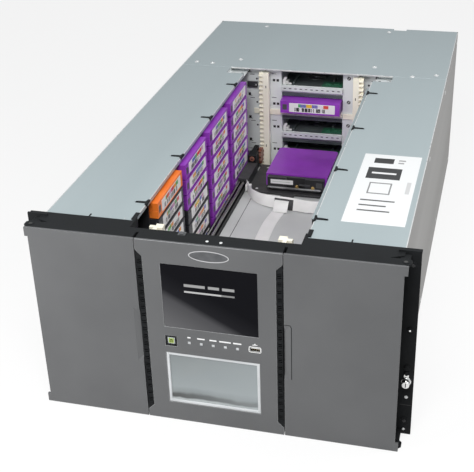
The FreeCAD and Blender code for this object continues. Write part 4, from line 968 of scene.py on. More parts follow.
def screen_finish():
    material, graph, shader, place = start_finish("screen_picture")
    low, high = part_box("touch_screen")
    axes = graph.split(place)
    u = graph.ranged(axes["X"], (low.x, high.x))
    v = graph.ranged(axes["Z"], (low.z, high.z))
    slope = graph.math("ADD", graph.math("MULTIPLY", u, 0.62), graph.math("MULTIPLY", v, 0.9))
    tone = graph.steps(slope, [
        (0.10, rgb(0.15, 0.15, 0.155)), (0.46, rgb(0.085, 0.085, 0.09)), (0.56, rgb(0.012, 0.012, 0.014)),
        (0.80, rgb(0.002, 0.002, 0.003)),
    ])
    picture = with_patches(graph, tone.outputs["Color"], u, v, SCREEN_BARS)
    front = graph.within(axes["Y"], low.y - MM, low.y + 0.4 * MM)
    picture = graph.blend(front, rgb(0.0, 0.0, 0.0), picture)
    graph.wire(picture, shader.inputs["Emission Color"])
    shader.inputs["Emission Strength"].default_value = SCREEN_GLOW
    shader.inputs["Base Color"].default_value = rgb(0.005, 0.005, 0.006)
    shader.inputs["Specular IOR Level"].default_value = 0.02
    roughen(graph, shader, place, (0.20, 0.28), 0.3, 60, 0.05)
    return material


def pane_finish(x, z):
    """Smoky glass, lighter to the right, with a dark band near its foot."""
    material, graph, shader, place = start_finish("window_glass")
    axes = graph.split(place)
    u = graph.ranged(axes["X"], (x[0] * MM, x[1] * MM))
    v = graph.ranged(axes["Z"], (z[0] * MM, z[1] * MM))
    haze = noise(graph, place, 30.0, 2.0)
    lean = graph.math("ADD", v, graph.math("MULTIPLY", graph.math("SUBTRACT", haze, 0.5), 0.16))
    tone = graph.steps(lean, [
        (0.00, rgb(0.39, 0.413, 0.42)), (0.07, rgb(0.36, 0.383, 0.39)), (0.10, rgb(0.018, 0.0195, 0.021)),
        (0.155, rgb(0.03, 0.033, 0.0345)), (0.21, rgb(0.18, 0.2, 0.207)), (0.32, rgb(0.24, 0.27, 0.28)),
        (0.95, rgb(0.158, 0.177, 0.183)),
    ])
    side = graph.blend(graph.math("MULTIPLY", u, 0.45), tone.outputs["Color"], rgb(0.33, 0.367, 0.383))
    tinted = graph.blend(graph.math("MULTIPLY", haze, 0.2), side, rgb(0.375, 0.39, 0.36))
    graph.wire(tinted, shader.inputs["Base Color"])
    roughen(graph, shader, place, (0.12, 0.18), 0.4, 50, 0.04)
    return material


SCREEN_PICTURE = screen_finish()
dress("touch_screen", SCREEN_PICTURE)
GLASS_X, GLASS_Z, GLASS_Y = (-58.6, 58.6), (29.8, 103.9), 1.6
GLASS_THICK, GLASS_CORNER = 1.2, 2.0
WINDOW_GLASS = pane_finish(GLASS_X, GLASS_Z)
dress("window_pane", WINDOW_GLASS)


def make_glass():
    """Outer sheet of the window, held between the lips of its frame."""
    sketch = bmesh.new()
    add_plate(sketch, GLASS_X, GLASS_Z, GLASS_Y, GLASS_THICK, GLASS_CORNER)
    keep(sketch, "window_glass", [WINDOW_GLASS], "chassis", 0.25)


make_glass()
print("screen and window are drawn by", SCREEN_PICTURE.name, "and", WINDOW_GLASS.name)

# %% [markdown]
# Below the screen is a row of light pipes, each with a printed bar over it, between the power key and the
# data port. The key is a small lit square in a black bezel. All of this stands within a third of a
# millimetre of its plate.

# %% Badge, key, lights and port
BADGE_X, BADGE_Z = 1.5, 247.2
LIGHT_BARS, LIGHT_BAR_Z = (4.2, 9.6, 9.0, 14.6, 10.4), (129.6, 131.5)
PORT_PRINTS = [((51.0, 57.4), (131.2, 132.2)), ((53.2, 55.2), (132.6, 133.8))]
PRINT_PROUD, PRINT_THICK, PRINT_CORNER = 0.05, 0.1, 0.4
LIT_GREEN = finish(
    "lit_green", (0.20, 0.27, 0.03), (0.26, 0.34, 0.045), (0.3, 0.4), 0.0, 0.3, 3, 0.1, dust=0.0,
)
adjust(LIT_GREEN, "Emission Color", rgb(0.45, 0.62, 0.04))
adjust(LIT_GREEN, "Emission Strength", 0.08)
ZINC = finish("zinc", (0.58, 0.59, 0.59), (0.68, 0.69, 0.68), (0.26, 0.38), 0.35, 0.3, 10, 0.1, dust=0.0)
DARK_STEEL = finish("dark_steel", (0.10, 0.103, 0.108), (0.14, 0.143, 0.148), (0.28, 0.4), 0.7, 0.3, 8, 0.1)
PRINT_WHITE = finish(
    "print_white", (0.74, 0.74, 0.74), (0.80, 0.80, 0.80), (0.5, 0.6), 0.0, 0.3, 8, 0.1, dust=0.0,
)


def oval(centre_x, centre_z, y, half_x, half_z, sides=48):
    """Points of an upright oval in the plane y."""
    steps = circle_steps(sides)
    return [at(centre_x + half_x * cosine, y, centre_z + half_z * sine) for cosine, sine in steps]


def ring_plate(sketch, loop_of, outer, inner, y, thick, layer=0):
    """Flat frame between two loops of the same number of points."""
    rows = [loop_of(outer, y), loop_of(inner, y), loop_of(inner, y + thick), loop_of(outer, y + thick)]
    rings = [[sketch.verts.new(point) for point in row] for row in rows]
    settle(sketch, bridge(sketch, rings, True), layer)


def make_badge():
    """Blank oval plate over the screen, with a raised rim."""

    def rim(grow, y):
        return oval(BADGE_X, BADGE_Z, y, 24.5 + grow, 7.4 + grow)

    sketch = bmesh.new()
    add_prism(sketch, oval(BADGE_X, BADGE_Z, -0.06, 23.5, 6.6), Vector((0, 0.2 * MM, 0)))
    ring_plate(sketch, rim, 0.0, -1.1, -0.14, 0.3, 1)
    keep(sketch, "front_badge", [DARK_STEEL, ALUMINIUM], "chassis", 0.04)


def make_grip_shadow_strip():
    """Painted shadow: a dark strip round the finger grip of the right door, where the wall of the recess is
    in shade.
    """
    inner = corners("right_door_panel")[0].x
    bend, outer, low, high = inner + 7.2, inner + 9.4, 88.0, 166.2
    path = [(inner + 0.6, high), (bend, high), (outer, high - 3.4), (outer, low)]
    thick = [
        (inner + 0.6, high - 0.8), (bend - 0.4, high - 0.8), (outer - 0.9, high - 3.8), (outer - 0.9, low),
    ]
    sketch = bmesh.new()
    for index in range(len(path) - 1):
        loop = [path[index], path[index + 1], thick[index + 1], thick[index]]
        add_prism(sketch, [at(x, -0.08, z) for x, z in loop], Vector((0, 0.2 * MM, 0)))
    keep(sketch, "right_grip_line", [FRAME_BLACK], BODY_OF["right_door_panel"], 0.03)


def make_key():
    """Lit square on the power key, with a dark edge and a ring and stroke as its sign."""
    low, high = corners("power_button")
    middle_x, middle_z = (low.x + high.x) / 2, (low.z + high.z) / 2

    def square(half, y):
        return plate_loop(span(middle_x, half), span(middle_z, half), y, 0.6)

    def circle(radius, y):
        return oval(middle_x, middle_z, y, radius, radius, 24)

    sketch = bmesh.new()
    ring_plate(sketch, square, 4.1, 3.8, low.y - 0.12, 0.2, 0)
    add_prism(sketch, square(3.3, low.y - 0.16), Vector((0, 0.3 * MM, 0)), 1)
    ring_plate(sketch, circle, 2.1, 1.4, low.y - 0.3, 0.2, 2)
    add_block(sketch, span(middle_x, 0.35), (low.y - 0.3, low.y), (middle_z, middle_z + 2.4), 2)
    keep(sketch, "lit_key", [DARK_STEEL, LIT_GREEN, BLACK_PLASTIC], "power_key", 0.05)


def make_prints():
    """Printed bars over the lights, and a bar and a dot over the port."""
    sketch = bmesh.new()
    prints = []
    for (low, high), wide in zip(islands("status_lights"), LIGHT_BARS):
        middle = (low[0] + high[0]) / 2
        prints.append((span(middle, wide / 2), LIGHT_BAR_Z))
    for x, z in prints + PORT_PRINTS:
        add_plate(sketch, x, z, FASCIA_FRONT - PRINT_PROUD, PRINT_THICK, PRINT_CORNER)
    keep(sketch, "front_prints", [PRINT_WHITE], "chassis", 0.02)


def make_port():
    """Tongue with contacts inside the data port, and the pale rim round its mouth."""
    low, high = corners("usb_port")
    middle = (low.z + high.z) / 2

    def rim(grow, y):
        return plate_loop((low.x - grow, high.x + grow), (low.z - grow, high.z + grow), y, 1.4 + grow)

    sketch = bmesh.new()
    add_block(
        sketch, (low.x + 1.6, high.x - 1.6), (low.y + 1.5, high.y - 1), (middle + 0.1, middle + 1.6), 0,
    )
    for number in range(4):
        across = low.x + 3.0 + number * (high.x - low.x - 6.0) / 3
        wide = span(across, 0.5)
        add_block(sketch, wide, (low.y + 1.3, high.y - 2), (middle - 0.2, middle + 0.1), 1)
    ring_plate(sketch, rim, 0.9, 0.1, FASCIA_FRONT - 0.1, 0.2, 0)
    keep(sketch, "data_port_inside", [WHITE_PLASTIC, BRASS], "chassis", 0.06)


make_badge()
make_grip_shadow_strip()
make_key()
make_prints()
make_port()
print("front pieces are on", BODY_OF["power_button"], "and chassis")

# %% [markdown]
# ## Screws and other turned parts
# A turned part is a profile spun round an axis. A screw head, a knob or a lens is made once at the origin,
# looking up, and the tree from the cartridges repeats it with a turn that makes it face the right way.

# %% Turned shapes
FACING_UP, FACING_FRONT, FACING_REAR = (0, 0, 0), (90, 0, 0), (-90, 0, 0)
FACING_LEFT, FACING_RIGHT = (0, -90, 0), (0, 90, 0)
TURNED_EDGE = 0.08


def turned_shape(name, profile, sides=20):
    """Closed shape at the origin, spun about z from pairs of radius and height in millimetres."""
    sketch = bmesh.new()
    rings = []
    for radius, up in profile:
        ring = [Vector((radius * cosine, radius * sine, up)) * MM for cosine, sine in circle_steps(sides)]
        rings.append([sketch.verts.new(point) for point in ring])
    for face in bridge(sketch, rings):
        face.smooth = True
    sketch.faces.new(rings[0][::-1])
    sketch.faces.new(rings[-1])
    bmesh.ops.recalc_face_normals(sketch, faces=sketch.faces)
    return rounded(mesh_of(sketch, name), TURNED_EDGE)


def many(name, shape, spots, facing, paint):
    """Repeat a shape on the casing at spots in millimetres, all facing the same way."""
    show(repeat(name, shape, [(at(*spot), facing) for spot in spots], paint), name, "chassis")


PAN_HEAD = turned_shape(
    "pan_head", [(3.9, -0.3), (3.9, 0.5), (3.3, 1.15), (2.0, 1.45), (1.5, 1.45), (1.2, 0.7)],
)
FLAT_HEAD = turned_shape("flat_head", [(3.2, -0.3), (3.2, 0.35), (2.8, 0.55), (1.5, 0.55), (1.2, 0.0)])
THUMB_KNOB = turned_shape(
    "thumb_knob", [(2.6, -0.2), (2.6, 1.0), (4.2, 1.2), (4.2, 4.4), (3.6, 5.0), (1.2, 5.0), (1.0, 4.2)], 16,
)
TOP_SCREWS = [(x, y, TOP_Z) for x, y in (
    (-173.6, 626), (-202, 628), (-130, 651.6), (-130, 845), (101, 845.6), (101.3, 651), (167.7, 615.3),
    (205, 628),
)]
many("cover_screws", PAN_HEAD, TOP_SCREWS, FACING_UP, ZINC)
SIDE_X = corners("right_side_panel")[1].x
SIDE_SPOTS = [(y, z) for y in (70, 330, 590, 846) for z in (14, 243)]
for name, x, facing in (("right_screws", SIDE_X, FACING_RIGHT), ("left_screws", -SIDE_X, FACING_LEFT)):
    many(name, FLAT_HEAD, [(x, y, z) for y, z in SIDE_SPOTS], facing, ZINC)
print("screws", len(TOP_SCREWS) + 2 * len(SIDE_SPOTS))

# %% [markdown]
# The vents beside the doors are fine louvres. One slat is made and repeated up both strips.

# %% Vent slats


def local_prism(sketch, loop, low, high):
    """Prism at the origin from a loop of x, y pairs, between two heights in millimetres."""
    add_prism(sketch, [Vector((x, y, low)) * MM for x, y in loop], Vector((0, 0, (high - low) * MM)))


def local_shape(name, edge, *boxes):
    """Blocks at the origin, given by their x, y and z in millimetres, with rounded edges."""
    sketch = bmesh.new()
    for x, y, z in boxes:
        local_prism(sketch, [(x[0], y[0]), (x[1], y[0]), (x[1], y[1]), (x[0], y[1])], *z)
    return rounded(mesh_of(sketch, name), edge)


VENT_X, VENT_Z, SLAT_STEP = 85.0, (21.0, 238.0), 2.55
SLAT = local_shape("slat", 0.12, ((-3.7, 3.7), (-0.3, 0.4), (-0.55, 0.55)))
SLAT_COUNT = int((VENT_Z[1] - VENT_Z[0]) / SLAT_STEP)
SLAT_Y = FASCIA_FRONT + 0.45
SLAT_RISE = [VENT_Z[0] + SLAT_STEP * number for number in range(SLAT_COUNT)]
SLAT_SPOTS = [(side * VENT_X, SLAT_Y, z) for side in (-1, 1) for z in SLAT_RISE]
many("vent_slats", SLAT, SLAT_SPOTS, FACING_UP, FRAME_BLACK)
print("slats", len(SLAT_SPOTS))

# %% [markdown]
# Each rack ear carries a small knob, a black stop, a bright quarter-turn lock with its collar, and a few
# dots. They are the same on both sides, so one function makes both.

# %% Hardware on the rack ears
EAR_X, EAR_FRONT = 233.4, 36.0
KNOB_Z, STOP_Z, PEG_Z, LOCK_Z, DOT_Z, LINE_Z, FOOT_Z = 156, 101, 94, 81, 57.5, 45.0, 8
RACK_HOLE_X, RACK_HOLES = 232.55, (21.4, 243.65)
PIN_X, PIN_Y, PIN_SIDES = 226.0, 12.0, 20


def ear_hardware(side):
    """Knob, stop, lock, dots and covers of the rack holes on one ear."""
    sketch = bmesh.new()
    x = side * EAR_X
    inner = x - side
    add_rod(sketch, (x, EAR_FRONT, KNOB_Z), "y", 3.6, -2.2, 0, tip=3.0)
    # Painted highlight: the small bright steel disc on the front of the dark knob stands for its glint.
    add_rod(sketch, (x, EAR_FRONT - 2.2, KNOB_Z), "y", 1.3, -0.5, 1, 12)
    add_rod(sketch, (inner, EAR_FRONT, STOP_Z), "y", 4.2, -3.0, 0, tip=3.0)
    add_rod(sketch, (inner, EAR_FRONT, PEG_Z), "y", 2.6, -4.0, 0, tip=2.2)
    add_rod(sketch, (inner, EAR_FRONT, LOCK_Z), "y", 6.4, -1.2, 1, tip=5.8)
    add_rod(sketch, (inner, EAR_FRONT - 1.2, LOCK_Z), "y", 5.0, -7.4, 1, tip=4.5)
    add_block(sketch, span(inner, 0.6), (EAR_FRONT - 8.8, EAR_FRONT - 8.5), span(LOCK_Z, 3), 2)
    add_block(sketch, span(inner, 3.0), (EAR_FRONT - 3.0, EAR_FRONT), (LOCK_Z + 7.5, LOCK_Z + 11.5), 1)
    add_rod(sketch, (x, EAR_FRONT, DOT_Z), "y", 2.3, -0.7, 3, tip=1.9)
    add_block(
        sketch, (side * 226, side * 240.5), (EAR_FRONT - 0.12, EAR_FRONT + 0.1), (LINE_Z, LINE_Z + 1), 2,
    )
    add_rod(sketch, (inner, EAR_FRONT, FOOT_Z), "y", 1.9, -0.8, 3, 12, tip=1.4)
    for z in RACK_HOLES:
        add_rod(sketch, (side * RACK_HOLE_X, EAR_FRONT + 0.3, z), "y", 5.0, -1.4, 0, tip=4.4)
        add_rod(sketch, (side * RACK_HOLE_X, EAR_FRONT - 1.0, z), "y", 2.4, -0.8, 4, 6, tip=2.0)
    name = "right_ear_hardware" if side > 0 else "left_ear_hardware"
    finishes = [FRAME_BLACK, BRIGHT_STEEL, RUBBER, ZINC, BLACK_PLASTIC]
    keep(sketch, name, finishes, "chassis", 0.15)


ear_hardware(1)
ear_hardware(-1)


def pin_caps(side, body):
    """Ring and dark centre over the hinge pin, on the lug of a door."""
    sketch = bmesh.new()
    top = corners(body + "_liner")[1].z
    rings = []
    for radius, up in ((4.6, 0.0), (4.6, 0.35), (2.6, 0.35), (2.4, 0.05)):
        steps = circle_steps(PIN_SIDES)
        spots = [(side * PIN_X + radius * cosine, PIN_Y + radius * sine) for cosine, sine in steps]
        rings.append([sketch.verts.new(at(x, y, top + up)) for x, y in spots])
    bridge(sketch, rings)
    sketch.faces.new(rings[-1]).material_index = 1
    sketch.faces.new(rings[0][::-1])
    bmesh.ops.recalc_face_normals(sketch, faces=sketch.faces)
    keep(sketch, body + "_pin_cap", [FRAME_BLACK, RUBBER], body, 0.06)


pin_caps(1, "right_door")
pin_caps(-1, "left_door")
print("ears and hinges are fitted")

# %% [markdown]
# ## The top
# Black clips sit in the slits along the opening. Each has a pointed tail and a fork that grips the folded
# edge. The frame has a few marks on top, and a white paper sticker lies on the right panel with plain bars
# and blocks on it.

# %% Clips, marks and sticker


def clip_shape():
    """Clip whose tail points along +x, with its fork over the edge at the origin."""
    sketch = bmesh.new()
    tail = [(-1.4, -2.0), (2.6, -1.9), (12.4, -1.2), (15.4, 0.0), (12.4, 1.2), (2.6, 1.9), (-1.4, 2.0)]
    local_prism(sketch, tail, -2.0, 1.0)
    for side in (-1, 1):
        prong = [(-1.6, side * 1.0), (2.6, side * 1.0), (0.6, side * 7.6), (-1.8, side * 7.0)]
        local_prism(sketch, prong[::side], -1.6, 1.2)
    return rounded(mesh_of(sketch, "clip"), 0.25)


OPENING, CLIP_FIRST, CLIP_STEP, CLIP_COUNT = 107.5, 99.5, 143.5, 4
CLIP_ROWS = [CLIP_FIRST + CLIP_STEP * number for number in range(CLIP_COUNT)]
CLIP_SIDES = ((OPENING, 0), (-OPENING, 180))
CLIP_PLACES = [(at(x, y, TOP_Z), (0, 0, turn)) for x, turn in CLIP_SIDES for y in CLIP_ROWS]
show(repeat("edge_clips", clip_shape(), CLIP_PLACES, FRAME_BLACK), "edge_clips", "chassis")


def make_top_marks():
    """Hem lines of the top panels, lighter than the panels as a painted highlight on their folds, small
    dark marks, and the catch and pins on the front frame.
    """
    sketch = bmesh.new()
    for x, y in ((-165.4, 47.0), (159.9, 47.0)):
        add_block(sketch, span(x, 0.9), (y, y + 9.5), (TOP_Z - 0.4, TOP_Z + 0.5), 0)
    for side in (-1, 1):
        side_block(sketch, side, (104.6, 108.2), (30.0, 57.0), (247.0, 259.4), 0)
        side_block(sketch, side, (106.0, 111.5), (52.0, 70.0), (TOP_Z, TOP_Z + 1.0), 0)
        # Painted highlight: the hem lines are real folds, given a lighter zinc than the panels for the
        # bright line along each edge.
        side_block(sketch, side, (106.9, 107.9), (70.0, 578.0), (TOP_Z - 1.5, TOP_Z + 0.2), 2)
        side_block(sketch, side, (221.6, 222.9), (50.0, 862.0), (TOP_Z - 1.0, TOP_Z + 0.15), 2)
    add_block(sketch, (-42.0, -33.0), (20.4, 29.4), (259.3, 260.8), 1)
    add_block(sketch, (-40.0, -35.0), (22.0, 27.0), (260.8, 261.6), 1)
    for x in (-2.8, 13.9):
        add_rod(sketch, (x, 11.5, 261.1), "z", 2.0, 0.5, 2, tip=1.6)
    for x, y in ((-138.3, 50.0), (118.0, 50.0), (-120.0, 52.0)):
        add_block(sketch, span(x, 0.5), (y, y + 3.5), (TOP_Z - 0.3, TOP_Z + 0.15), 3)
    finishes = [FRAME_BLACK, DARK_STEEL, ZINC, BRIGHT_STEEL]
    keep(sketch, "top_marks", finishes, "chassis", 0.12)


def sticker_finish(x, y):
    """White paper with plain blocks and bars, placed by the point of the surface."""
    material, graph, shader, place = start_finish("sticker")
    roughen(graph, shader, place, (0.42, 0.55), 0.5, 30, 0.1)
    axes = graph.split(place)
    u = graph.ranged(axes["X"], [at(side, 0, 0).x for side in x])
    v = graph.ranged(axes["Y"], [at(0, side, 0).y for side in y])
    graph.wire(with_patches(graph, STICKER_WHITE, u, v, STICKER_PRINT), shader.inputs["Base Color"])
    return material


STICKER_X, STICKER_Y, STICKER_THICK = (138.4, 215.0), (99.0, 301.0), 0.15
STICKER_WHITE = rgb(0.76, 0.77, 0.77)
STICKER_PRINT = (
    ((0.20, 0.54), (0.86, 0.94), 0.012), ((0.14, 0.72), (0.62, 0.79), 0.012),
    ((0.22, 0.64), (0.695, 0.72), 0.74), ((0.62, 0.74), (0.91, 0.93), 0.30),
    ((0.62, 0.72), (0.87, 0.89), 0.30), ((0.24, 0.62), (0.55, 0.565), 0.22),
    ((0.24, 0.62), (0.40, 0.415), 0.22), ((0.24, 0.265), (0.40, 0.565), 0.22),
    ((0.595, 0.62), (0.40, 0.565), 0.22), ((0.18, 0.74), (0.30, 0.318), 0.10),
    ((0.18, 0.62), (0.23, 0.248), 0.10), ((0.18, 0.70), (0.16, 0.178), 0.10),
    ((0.86, 0.93), (0.43, 0.60), 0.55),
)


def make_sticker():
    sketch = bmesh.new()
    loop = [at(STICKER_X[i], STICKER_Y[j], TOP_Z) for i, j in ((0, 0), (1, 0), (1, 1), (0, 1))]
    add_prism(sketch, loop, Vector((0, 0, STICKER_THICK * MM)))
    paper = sticker_finish(STICKER_X, STICKER_Y)
    keep(sketch, "paper_sticker", [paper], "chassis", 0.05)


def make_notch_plates():
    """Pale plates that show below the notches at the rear corners, with holes and a folded tongue."""
    sketch = bmesh.new()
    for side in (-1, 1):
        side_block(sketch, side, (109.2, 138.5), (582.0, 625.9), (248.4, 249.4), 0)
        side_block(sketch, side, (137.3, 138.5), (582.0, 625.9), (249.4, 255.6), 0)
        for x, y in ((116, 592), (129, 592), (116, 606), (129, 604)):
            add_rod(sketch, (side * x, y, 249.2), "z", 2.2, 0.4, 1, 14)
        side_block(sketch, side, (120.5, 124.5), (595.0, 603.0), (249.3, 249.6), 1)
    keep(sketch, "notch_plates", [BULKHEAD_STEEL, RUBBER], "chassis", 0.15)


make_top_marks()
make_sticker()
make_notch_plates()
print("clips", len(CLIP_PLACES))

# %% [markdown]
# ## Drives and bulkhead
# Six drives stand behind the bulkhead, one above the other. Each front has a dark hood over its mouth and a
# pale ledge below it, and an empty mouth shows a latch, a strip of circuit board and the hub that turns the
# reel. Each of these is made once at the origin and repeated at the height of every drive.

# %% Drive fronts
DRIVES = [node for node in sorted(frame["nodes"]) if node.startswith("tape_drive")]
MOUTH_BELOW_TOP = 18.0
LEVELS = [corners(node)[1].z - MOUTH_BELOW_TOP for node in DRIVES]
DRIVE_FACE = corners(DRIVES[0])[0].y
BULKHEAD_FACE = corners("drive_bulkhead")[0].y
LOADED = 1
EMPTY = [level for number, level in enumerate(LEVELS) if number != LOADED]
MOUTH_FLOOR = -11.5
HUB_BACK = 50.0
MOUTH_X = (-52.2, 52.2)
SLATE = finish(
    "slate_plastic", (0.060, 0.075, 0.075), (0.095, 0.115, 0.115), (0.3, 0.42), 0.1, 0.5, 20, 0.3,
)
LEDGE_GREY = finish("ledge_grey", (0.60, 0.63, 0.62), (0.70, 0.73, 0.72), (0.34, 0.46), 0.1, 0.5, 20, 0.2)


def at_levels(name, shape, levels, paint, up=0.0, back=0.0):
    """Repeat a shape at the heights of the drives, facing the robot."""
    spots = [(0, DRIVE_FACE + back, level + up) for level in levels]
    many(name, shape, spots, FACING_UP, paint)


LEDGE = local_shape(
    "ledge", 0.3, (MOUTH_X, (-6.5, 0.3), (-20.0, -12.4)), (MOUTH_X, (-6.5, -5.3), (-12.6, -11.2)),
)
HOOD = local_shape("hood", 0.25, (MOUTH_X, (-1.3, 0.3), (14.6, 17.8)), (MOUTH_X, (-0.6, 0.3), (11.7, 14.8)))
LATCH = local_shape(
    "latch", 0.4, ((-51, -46), (1, 14), (0, 9.5)), ((-46.2, -42), (3, 12), (0, 6)),
    ((-42, -36.5), (2, 5), (0, 3.2)), ((-49.5, -44.5), (2.5, 6), (9.3, 12.5)),
)
BOARD = local_shape(
    "board", 0.1, ((16, 50), (3, 24), (0, 1.4)), ((22, 30), (8, 14), (1.3, 3.2)),
    ((36, 44), (10, 18), (1.3, 2.6)),
)
RAMP = local_shape("ramp", 0.5, ((-34, -31), (2, 46), (0, 5)), ((31, 34), (26, 46), (0, 4)))
FLOOR_PLATE = local_shape("floor_plate", 0.05, (MOUTH_X, (0.5, 111.0), (-0.1, 0.12)))
HUB = turned_shape(
    "hub", [(17, 0), (17, 1.2), (13, 1.8), (12.4, 1.0), (7, 1.0), (6.5, 2.6), (2.4, 3.0), (2.0, 2.2)], 28,
)
at_levels("drive_ledges", LEDGE, EMPTY, LEDGE_GREY)
at_levels("loaded_ledge", LEDGE, [LEVELS[LOADED]], CREAM)
at_levels("drive_hoods", HOOD, LEVELS, SLATE)
at_levels("mouth_floors", FLOOR_PLATE, EMPTY, SLATE, MOUTH_FLOOR)
at_levels("mouth_latches", LATCH, EMPTY, WHITE_PLASTIC, MOUTH_FLOOR)
at_levels("mouth_boards", BOARD, EMPTY, CIRCUIT_GREEN, MOUTH_FLOOR)
at_levels("mouth_ramps", RAMP, EMPTY, SLATE, MOUTH_FLOOR)
at_levels("mouth_hubs", HUB, EMPTY, DARK_STEEL, MOUTH_FLOOR, HUB_BACK)
print("drive levels", [round(level, 1) for level in LEVELS])

# %% [markdown]
# The ledges have a row of small dark contacts, and the sheet beside the drives is full of punched slots and
# screws. The marks stand a tenth of a millimetre proud of the sheet, which is enough to keep the two faces
# apart.

# %% Contacts, slots and screws


def dark_marks(name, shape, spots, facing=FACING_UP):
    """Dark marks on a sheet of the casing."""
    many(name, shape, spots, facing, RUBBER)


CONTACT = local_shape("contact", 0.1, ((-2.0, 2.0), (-0.12, 0.4), (-0.7, 0.7)))
CONTACT_X = [-46.0 + 9.2 * number for number in range(11)]
CONTACT_SPOTS = [(x, DRIVE_FACE - 6.5, level - 15.4) for level in EMPTY for x in CONTACT_X]
many("ledge_contacts", CONTACT, CONTACT_SPOTS, FACING_UP, BLACK_PLASTIC)
SLOT_MARK = local_shape("slot_mark", 0.1, ((-4.0, 4.0), (-0.1, 0.3), (-0.5, 0.5)))
TAB_MARK = local_shape(
    "tab_mark", 0.2, ((-2.2, 2.2), (-0.1, 0.3), (-3.0, 2.4)), ((1.0, 4.4), (-0.1, 0.3), (-3.4, -2.4)),
)
DOT_MARK = turned_shape("dot_mark", [(1.7, -0.3), (1.7, 0.1), (1.2, 0.12)], 14)
STRIP_X = -66
dark_marks("strip_slots", SLOT_MARK, [(STRIP_X, BULKHEAD_FACE, z + 7.4) for z in LEVELS])
SIDE_PAIRS = [(side, level) for side in (-1, 1) for level in LEVELS[:-1]]
for name, shape, x, up, facing in (
    ("sheet_slots", SLOT_MARK, 104, 4.5, FACING_UP),
    ("sheet_tabs", TAB_MARK, 109, 11.5, FACING_UP),
    ("sheet_dots", DOT_MARK, 96, -3, FACING_FRONT),
):
    dark_marks(name, shape, [(side * x, BULKHEAD_FACE, z + up) for side, z in SIDE_PAIRS], facing)
HOLE_MARK = local_shape(
    "hole_mark", 0.1, ((-2.1, 2.1), (-0.05, 0.6), (-2.1, 2.1)), ((4.4, 8.6), (-0.05, 0.6), (-2.1, 2.1)),
)
dark_marks("strip_holes", HOLE_MARK, [(STRIP_X, BULKHEAD_FACE + 0.3, z - 4) for z in LEVELS])
STRIP_HEADS = [(62.7, BULKHEAD_FACE, level + 7) for level in LEVELS]
many("strip_screws", FLAT_HEAD, STRIP_HEADS, FACING_FRONT, DARK_STEEL)
HEAD_SLOT = local_shape("head_slot", 0.1, ((-2.7, 2.7), (-0.72, -0.3), (-0.5, 0.5)))
TURNED_SLOTS = [(at(x, y, z), (0, -50, 0)) for x, y, z in STRIP_HEADS]
HEAD_SLOTS = repeat("strip_screw_slots", HEAD_SLOT, TURNED_SLOTS, ZINC)
show(HEAD_SLOTS, "strip_screw_slots", "chassis")
print("contacts", len(CONTACT_SPOTS), "sheet marks", 3 * len(SIDE_PAIRS))


def make_opening_trim():
    """Hem of the rear cover, lighter than the cover as a painted highlight on its fold, marks on the racks,
    a bracket on the wall and a strip at the right.
    """
    sketch = bmesh.new()
    hem = corners("rear_top_cover")[0].y
    # Painted highlight: the hem is a real fold, raised and given the light zinc so that it shows as a
    # bright line.
    add_block(sketch, (-137.0, 137.0), (hem - 0.9, hem + 0.5), (255.2, TOP_Z + 0.25), 0)
    for x, z in ((-76.5, 226), (-77.5, 118), (76.5, 214), (76.5, 172)):
        add_block(sketch, span(x, 0.6), (609.8, 610.4), span(z, 2.2), 1)
    add_block(sketch, (-112.0, -94.0), (BULKHEAD_FACE - 4.0, BULKHEAD_FACE + 0.3), (219.5, 229.5), 2)
    add_rod(sketch, (-96.6, BULKHEAD_FACE - 3.8, 224.5), "y", 1.5, -0.5, 0, 10)
    low, high = corners("right_magazine")
    add_block(sketch, (100.2, low.x + 1.5), (low.y + 65, high.y - 2), (248.3, 249.5), 3)
    keep(sketch, "opening_trim", [ZINC, RUBBER, MAGAZINE_BLACK, TOP_STEEL], "chassis", 0.2)


make_opening_trim()

# %% [markdown]
# ## Ribbon cables
# Two flat cables serve the robot. One lies on the base plate and bends gently, the other stands on its edge
# across the carriage. A flat cable is a smooth line with a width, so both are made from a few given points.
# The points steer a spline, and the sheet is drawn along it with a small thickness.

# %% Smooth lines and sheets
SPLINE_ORDER, SPLINE_STEPS = 3, 8
SHEET_EDGE = 0.08


def smooth_line(points):
    """Points on a smooth curve that the given points steer."""
    route = bpy.data.curves.new("route", "CURVE")
    route.dimensions = "3D"
    spline = route.splines.new("NURBS")
    spline.points.add(len(points) - 1)
    for knot, point in zip(spline.points, points):
        knot.co = (*point, 1.0)
    spline.order_u = SPLINE_ORDER
    spline.use_endpoint_u = True
    spline.resolution_u = SPLINE_STEPS
    mesh = evaluated(added("route", route))
    return [vert.co.copy() for vert in mesh.vertices]


def sheet_along(name, near, far, thick, paint, body, slot, nodes=()):
    """Closed thin sheet between two lines of points in millimetres."""
    sketch = bmesh.new()
    rows = []
    for index in range(len(near)):
        before, after = max(index - 1, 0), min(index + 1, len(near) - 1)
        normal = (near[after] - near[before]).cross(far[index] - near[index]).normalized() * thick / 2
        ring = (near[index] - normal, far[index] - normal, far[index] + normal, near[index] + normal)
        rows.append([sketch.verts.new(at(*point)) for point in ring])
    for face in bridge(sketch, rows):
        face.smooth = True
    sketch.faces.new(rows[0][::-1])
    sketch.faces.new(rows[-1])
    bmesh.ops.recalc_face_normals(sketch, faces=sketch.faces)
    return keep(sketch, name, [paint], body, SHEET_EDGE, nodes)


def moved(line, shift):
    return [point + Vector(shift) for point in line]


def leaning(line, lean, tall):
    """Upper edge of a sheet that leans back in its middle and stands upright at its ends."""
    turns = [point.x / CROSS_HALF * math.pi / 2 for point in line]
    return [point + Vector((0, lean * math.cos(turn), tall)) for point, turn in zip(line, turns)]


print("steps of the spline between two points", SPLINE_STEPS)

# %% [markdown]
# The cross ribbon stands upright at its ends and leans back in its middle, where a dark clamp holds it. The
# trailing ribbon lies flat, and a short fold joins the two.

